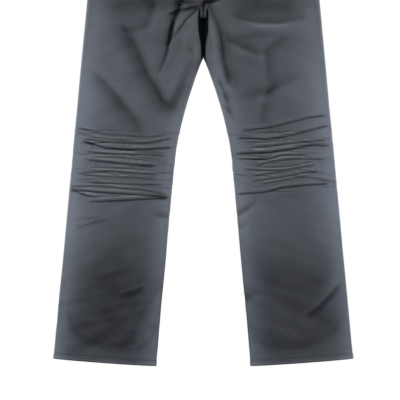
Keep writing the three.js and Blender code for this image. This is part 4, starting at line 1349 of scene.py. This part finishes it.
POCKET_TOP = -0.113
POCKET_WIDTH = 0.142
POCKET_HEIGHT = 0.146
POCKET_POINT = 0.022
POCKET_MIDDLE = float(inner_x(POCKET_TOP) + outer_x(POCKET_TOP)) / 2
POCKET_RISE = 0.135  # its height where the border is measured
MOUTH_RISE = 0.140  # its height where the hem is measured


def pocket_place(u, v, rim=0.0):
    """(x, z) on the back pocket: u across from its inner side, v down from its mouth."""
    half = POCKET_WIDTH / 2 - rim - 0.008 * v
    x = POCKET_MIDDLE + (2 * u - 1) * half
    point = POCKET_POINT * (1 - np.abs(2 * u - 1))
    foot = POCKET_TOP - POCKET_HEIGHT + POCKET_POINT - point + rim
    return x, mix(POCKET_TOP, foot, v)


def build_back_pocket(side):
    u = np.linspace(0, 1, 60)[None, :]
    v = np.concatenate([np.linspace(0, 0.16, 18)[:-1], np.linspace(0.16, 1, 52)])[:, None]
    x, z = pocket_place(u, v)
    f = fraction_at("back", z, x)
    height, shade, _ = relief(side, "back", z, f)
    border = np.minimum(np.minimum(u, 1 - u) * POCKET_WIDTH, (1 - v) * POCKET_RISE)
    mouth = v * MOUTH_RISE
    edge = np.minimum(border, mouth)
    sewn = 1 - ease(border / 0.010)
    stand = 0.0012 + 0.0020 * ease((border - 0.007) / 0.030) * (0.45 + 0.55 * (1 - ease(v / 0.9)))
    stand = stand + 0.0007 * (1 - ease((mouth - 0.018) / 0.002)) * ease(border / 0.004)
    rows = sum(bell(border - row, 0.0009) for row in POCKET_ROWS)
    hem = sum(bell(mouth - row, width) for row, width in zip(POCKET_HEM_ROWS, (0.0008, 0.0009)))
    face = height + stand - 0.0003 * rows - 0.0002 * hem - rounded(edge, 0.0009)
    outer, _ = skin("back", side, z, f, face + 0.0003)
    inner, _ = skin("back", side, z, f, height + np.maximum(stand - 0.0012, 0.0001) * (1 - sewn) + 0.0001)
    # painted shade in the stitch grooves, lighter edges, and the painted rim light
    looks = {
        "fade_and_shade": painted_falloff_of(z) + 0.6 * shade - 0.40 * np.minimum(rows + hem, 1),
        "wear_and_highlight": 0.22 * bell(edge, 0.0010),
        "rim_light": rim_light_of(z, outer_x(z) - x, x),
    }
    obj = shell_piece(f"{side}_seat_pocket", (outer, inner), shell_faces(*z.shape), looks=looks)
    bend_at_hip(obj)
    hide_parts(f"back_pocket_{side}")
    paths = []
    t = np.linspace(0.02, 1, 80)
    for row in POCKET_ROWS:
        inset, low = row / POCKET_WIDTH, 1 - row / POCKET_RISE
        route_u = np.concatenate([0 * t + inset, np.linspace(inset, 1 - inset, 90), 0 * t + 1 - inset])
        route_v = np.concatenate([t * low, np.full(90, low), t[::-1] * low])
        px, pz = pocket_place(route_u, route_v)
        paths.append(on_skin(side, "back", pz, px, 0.0016))
    across = np.linspace(0.02, 0.98, 60)
    for row in POCKET_HEM_ROWS:
        px, pz = pocket_place(across, np.full(60, row / MOUTH_RISE))
        gap = np.minimum(across, 1 - across) * POCKET_WIDTH
        swell = 0.0018 + 0.0020 * ease((gap - 0.007) / 0.030) * 0.98 + 0.0003
        paths.append(on_skin(side, "back", pz, px, swell))
    bend_at_hip(sew(f"{side}_seat_pocket_stitches", paths))


for side in SIDES:
    build_yoke(side)
    build_turnup(side)
    build_pocket_facing(side)
    build_pocket_bag(side)
    build_back_pocket(side)
    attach(sew(f"{side}_scoop_stitches", scoop_rows(side)), "hips")


# ---- Fly ------------------------------------------------------------------------------------
FLY_LENGTH = 0.138
FLY_ORIGIN = np.array([0.0, -float(half_depth("front", BAND_FOOT)) + 0.002, BAND_FOOT])
FLY_LEAN = math.atan2(BELLY_DEPTH - WAIST_DEPTH, -BELLY_Z)


def on_fly(x, y, z):
    """Fly plane to the garment: y runs into the garment, z up the fly."""
    x, y, z = np.broadcast_arrays(x, y, z)
    c, s = math.cos(-FLY_LEAN), math.sin(-FLY_LEAN)
    return np.stack([x, y * c - z * s, y * s + z * c], -1) + FLY_ORIGIN


def fly_plate(name, node_name, outline, face, wall, material=TWILL):
    """A thin ply in the fly's plane. outline gives (start x, end x) at each height."""
    zs = np.linspace(-0.001, -FLY_LENGTH, 70)[:, None]
    u = np.linspace(0, 1, 22)[None, :]
    start, end = outline(zs)
    x = mix(start, end, u)
    to_ends = np.minimum(-0.001 - zs, zs + FLY_LENGTH)
    edge = np.minimum(np.minimum(u, 1 - u) * np.abs(end - start), to_ends)
    drawn = np.minimum(rounded(edge, wall * 0.5), wall * 0.42)
    grids = [on_fly(x, face + drawn, zs), on_fly(x, face + wall - drawn, zs)]
    looks = {"fade_and_shade": 0.45, "wear_and_highlight": 0.1 * bell(edge, 0.001)}
    obj = shell_piece(name, grids, shell_faces(*x.shape), material, looks)
    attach(obj, "hips")
    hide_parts(node_name)


def facing_outline(z):
    start, width = 0.0075, 0.034
    run = part(z, -FLY_LENGTH + width, -FLY_LENGTH)
    return start + 0 * z, start + width * np.sqrt(np.clip(1 - run**2, 0.003, 1))


fly_plate("fly_facing_ply", "fly_facing", facing_outline, 0.0013, 0.0012)


def straight(start, end):
    return lambda z: (start + 0 * z, end + 0 * z)


def build_fly_rest():
    c, s = math.cos(FLY_LEAN), math.sin(FLY_LEAN)
    for label in SIDES:
        low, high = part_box(f"zip_tape_{label}")
        y, z = high.y - FLY_ORIGIN[1], high.z - FLY_ORIGIN[2]
        face = y * c - z * s - 0.0009
        edges = sorted((low.x, high.x))
        name = f"{label}_zip_tape_ply"
        fly_plate(name, f"zip_tape_{label}", straight(*edges), face, 0.0008, TAPE)
    low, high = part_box("fly_shield")
    y, z = high.y - FLY_ORIGIN[1], high.z - FLY_ORIGIN[2]
    face = y * c - z * s - 0.0021
    fly_plate("fly_shield_ply", "fly_shield", straight(low.x, high.x), face, 0.0019)


build_fly_rest()


def fly_rows():
    """The fly's curved double row of stitches and the row beside the centre seam."""
    paths = []
    z = np.linspace(-0.041, FLY_CURVE_TOP, 60)
    turn = np.linspace(0, 0.5 * math.pi, 60)[1:-2]
    for shy in (0.0, FLY_ROW_GAP):
        reach = FLY_ROW_X - shy
        xs = np.concatenate([np.full(len(z), reach), reach * np.cos(turn)])
        zs = np.concatenate([z, FLY_CURVE_TOP - (FLY_CURVE - shy) * np.sin(turn)])
        paths.append(on_skin("left", "front", zs, xs))
    straight_z = np.linspace(-0.041, CENTRE_ROW_FOOT, 90)
    paths.append(on_skin("left", "front", straight_z, np.full(90, CENTRE_ROW)))
    return paths


def seat_rows():
    """A double row of stitches beside the centre back seam."""
    zs = np.linspace(-0.108, CENTRE_ROW_FOOT, 70)
    return [on_skin("left", "back", zs, np.full(70, x)) for x in SEAT_ROWS]


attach(sew("fly_stitches", fly_rows()), "hips")
bend_at_hip(sew("seat_seam_stitches", seat_rows()))


# ---- Metal ----------------------------------------------------------------------------------
def give(material, *node_names):
    """Finish carried-over CAD nodes."""
    for name in node_names:
        data = bpy.data.objects[name].data
        if not data.materials:
            data.materials.append(material)
        for k in range(len(data.materials)):
            data.materials[k] = material


give(BRASS, "zip_teeth_left", "zip_teeth_right", "zip_bottom_stop", "zip_slider", "zip_pull")


def build_button():
    """Turned cap with a raised rim and a dished middle, and its tack."""
    low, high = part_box("button_cap")
    hub = Vector(((low.x + high.x) / 2, high.y, (low.z + high.z) / 2))
    reach = high.y - low.y
    radius = (high.x - low.x) / 2
    under = reach - 0.0034
    rim = [
        (-1.3, 0), (-0.4, 0.3), (0, 1.0), (-0.2, 1.8), (-0.9, 2.5),
        (-1.8, 2.8), (-2.6, 2.5), (-3.1, 2.0), (-3.6, 2.1),
    ]
    cap = [(0.0024, 0.0001), (0.0035, 0.0001), (0.0035, under)]
    cap += [(radius + out * MM, under + up * MM) for out, up in rim]
    cap += [(radius * 0.40, under + 0.0029), (radius * 0.2, reach - 0.0002), (0.0, reach - 0.0001)]
    bore = [(0.0, under + 0.0014), (0.0022, under + 0.0014)]
    make_lathe("button_face", cap, bore, hub, "button", "button_cap")
    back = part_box("button_tack")
    hub = Vector((hub.x, back[1].y, hub.z))
    depth = back[1].y - back[0].y
    tack = [
        (0.0, 0.0), (0.0040, 0.0), (0.0047, 0.0002), (0.0049, 0.0006), (0.0044, 0.0010),
        (0.0024, 0.0011), (0.0018, 0.0016), (0.0018, depth - 0.0008), (0.0012, depth), (0.0, depth),
    ]
    make_lathe("button_stem", tack, [], hub, "hips", "button_tack")


def make_lathe(name, profile, tail, hub, body, replaced):
    """A closed turned piece about the -Y axis from hub, from a (radius, height) profile."""
    segments = 72
    line = profile + tail
    verts = []
    for radius, height in line:
        count = segments if radius > 0 else 1
        for k in range(count):
            turn = 2 * math.pi * k / segments
            verts.append((hub.x + radius * math.cos(turn), hub.y - height, hub.z + radius * math.sin(turn)))
    starts = np.cumsum([0] + [segments if radius > 0 else 1 for radius, _ in line])
    faces = []
    pairs = list(zip(range(len(line)), range(1, len(line))))
    if line[0][0] > 0:
        pairs.append((len(line) - 1, 0))
    for i, j in pairs:
        for k in range(segments):
            m = (k + 1) % segments
            ring = []
            for row, col in ((i, k), (i, m), (j, m), (j, k)):
                index = int(starts[row]) + (col if line[row][0] > 0 else 0)
                if index not in ring:
                    ring.append(index)
            if len(ring) > 2:
                faces.append(tuple(ring))
    obj = new_object(name, verts, faces, BRASS)
    clean(obj)
    obj.data.set_sharp_from_angle(angle=math.radians(50))
    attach(obj, body)
    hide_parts(replaced)


build_button()
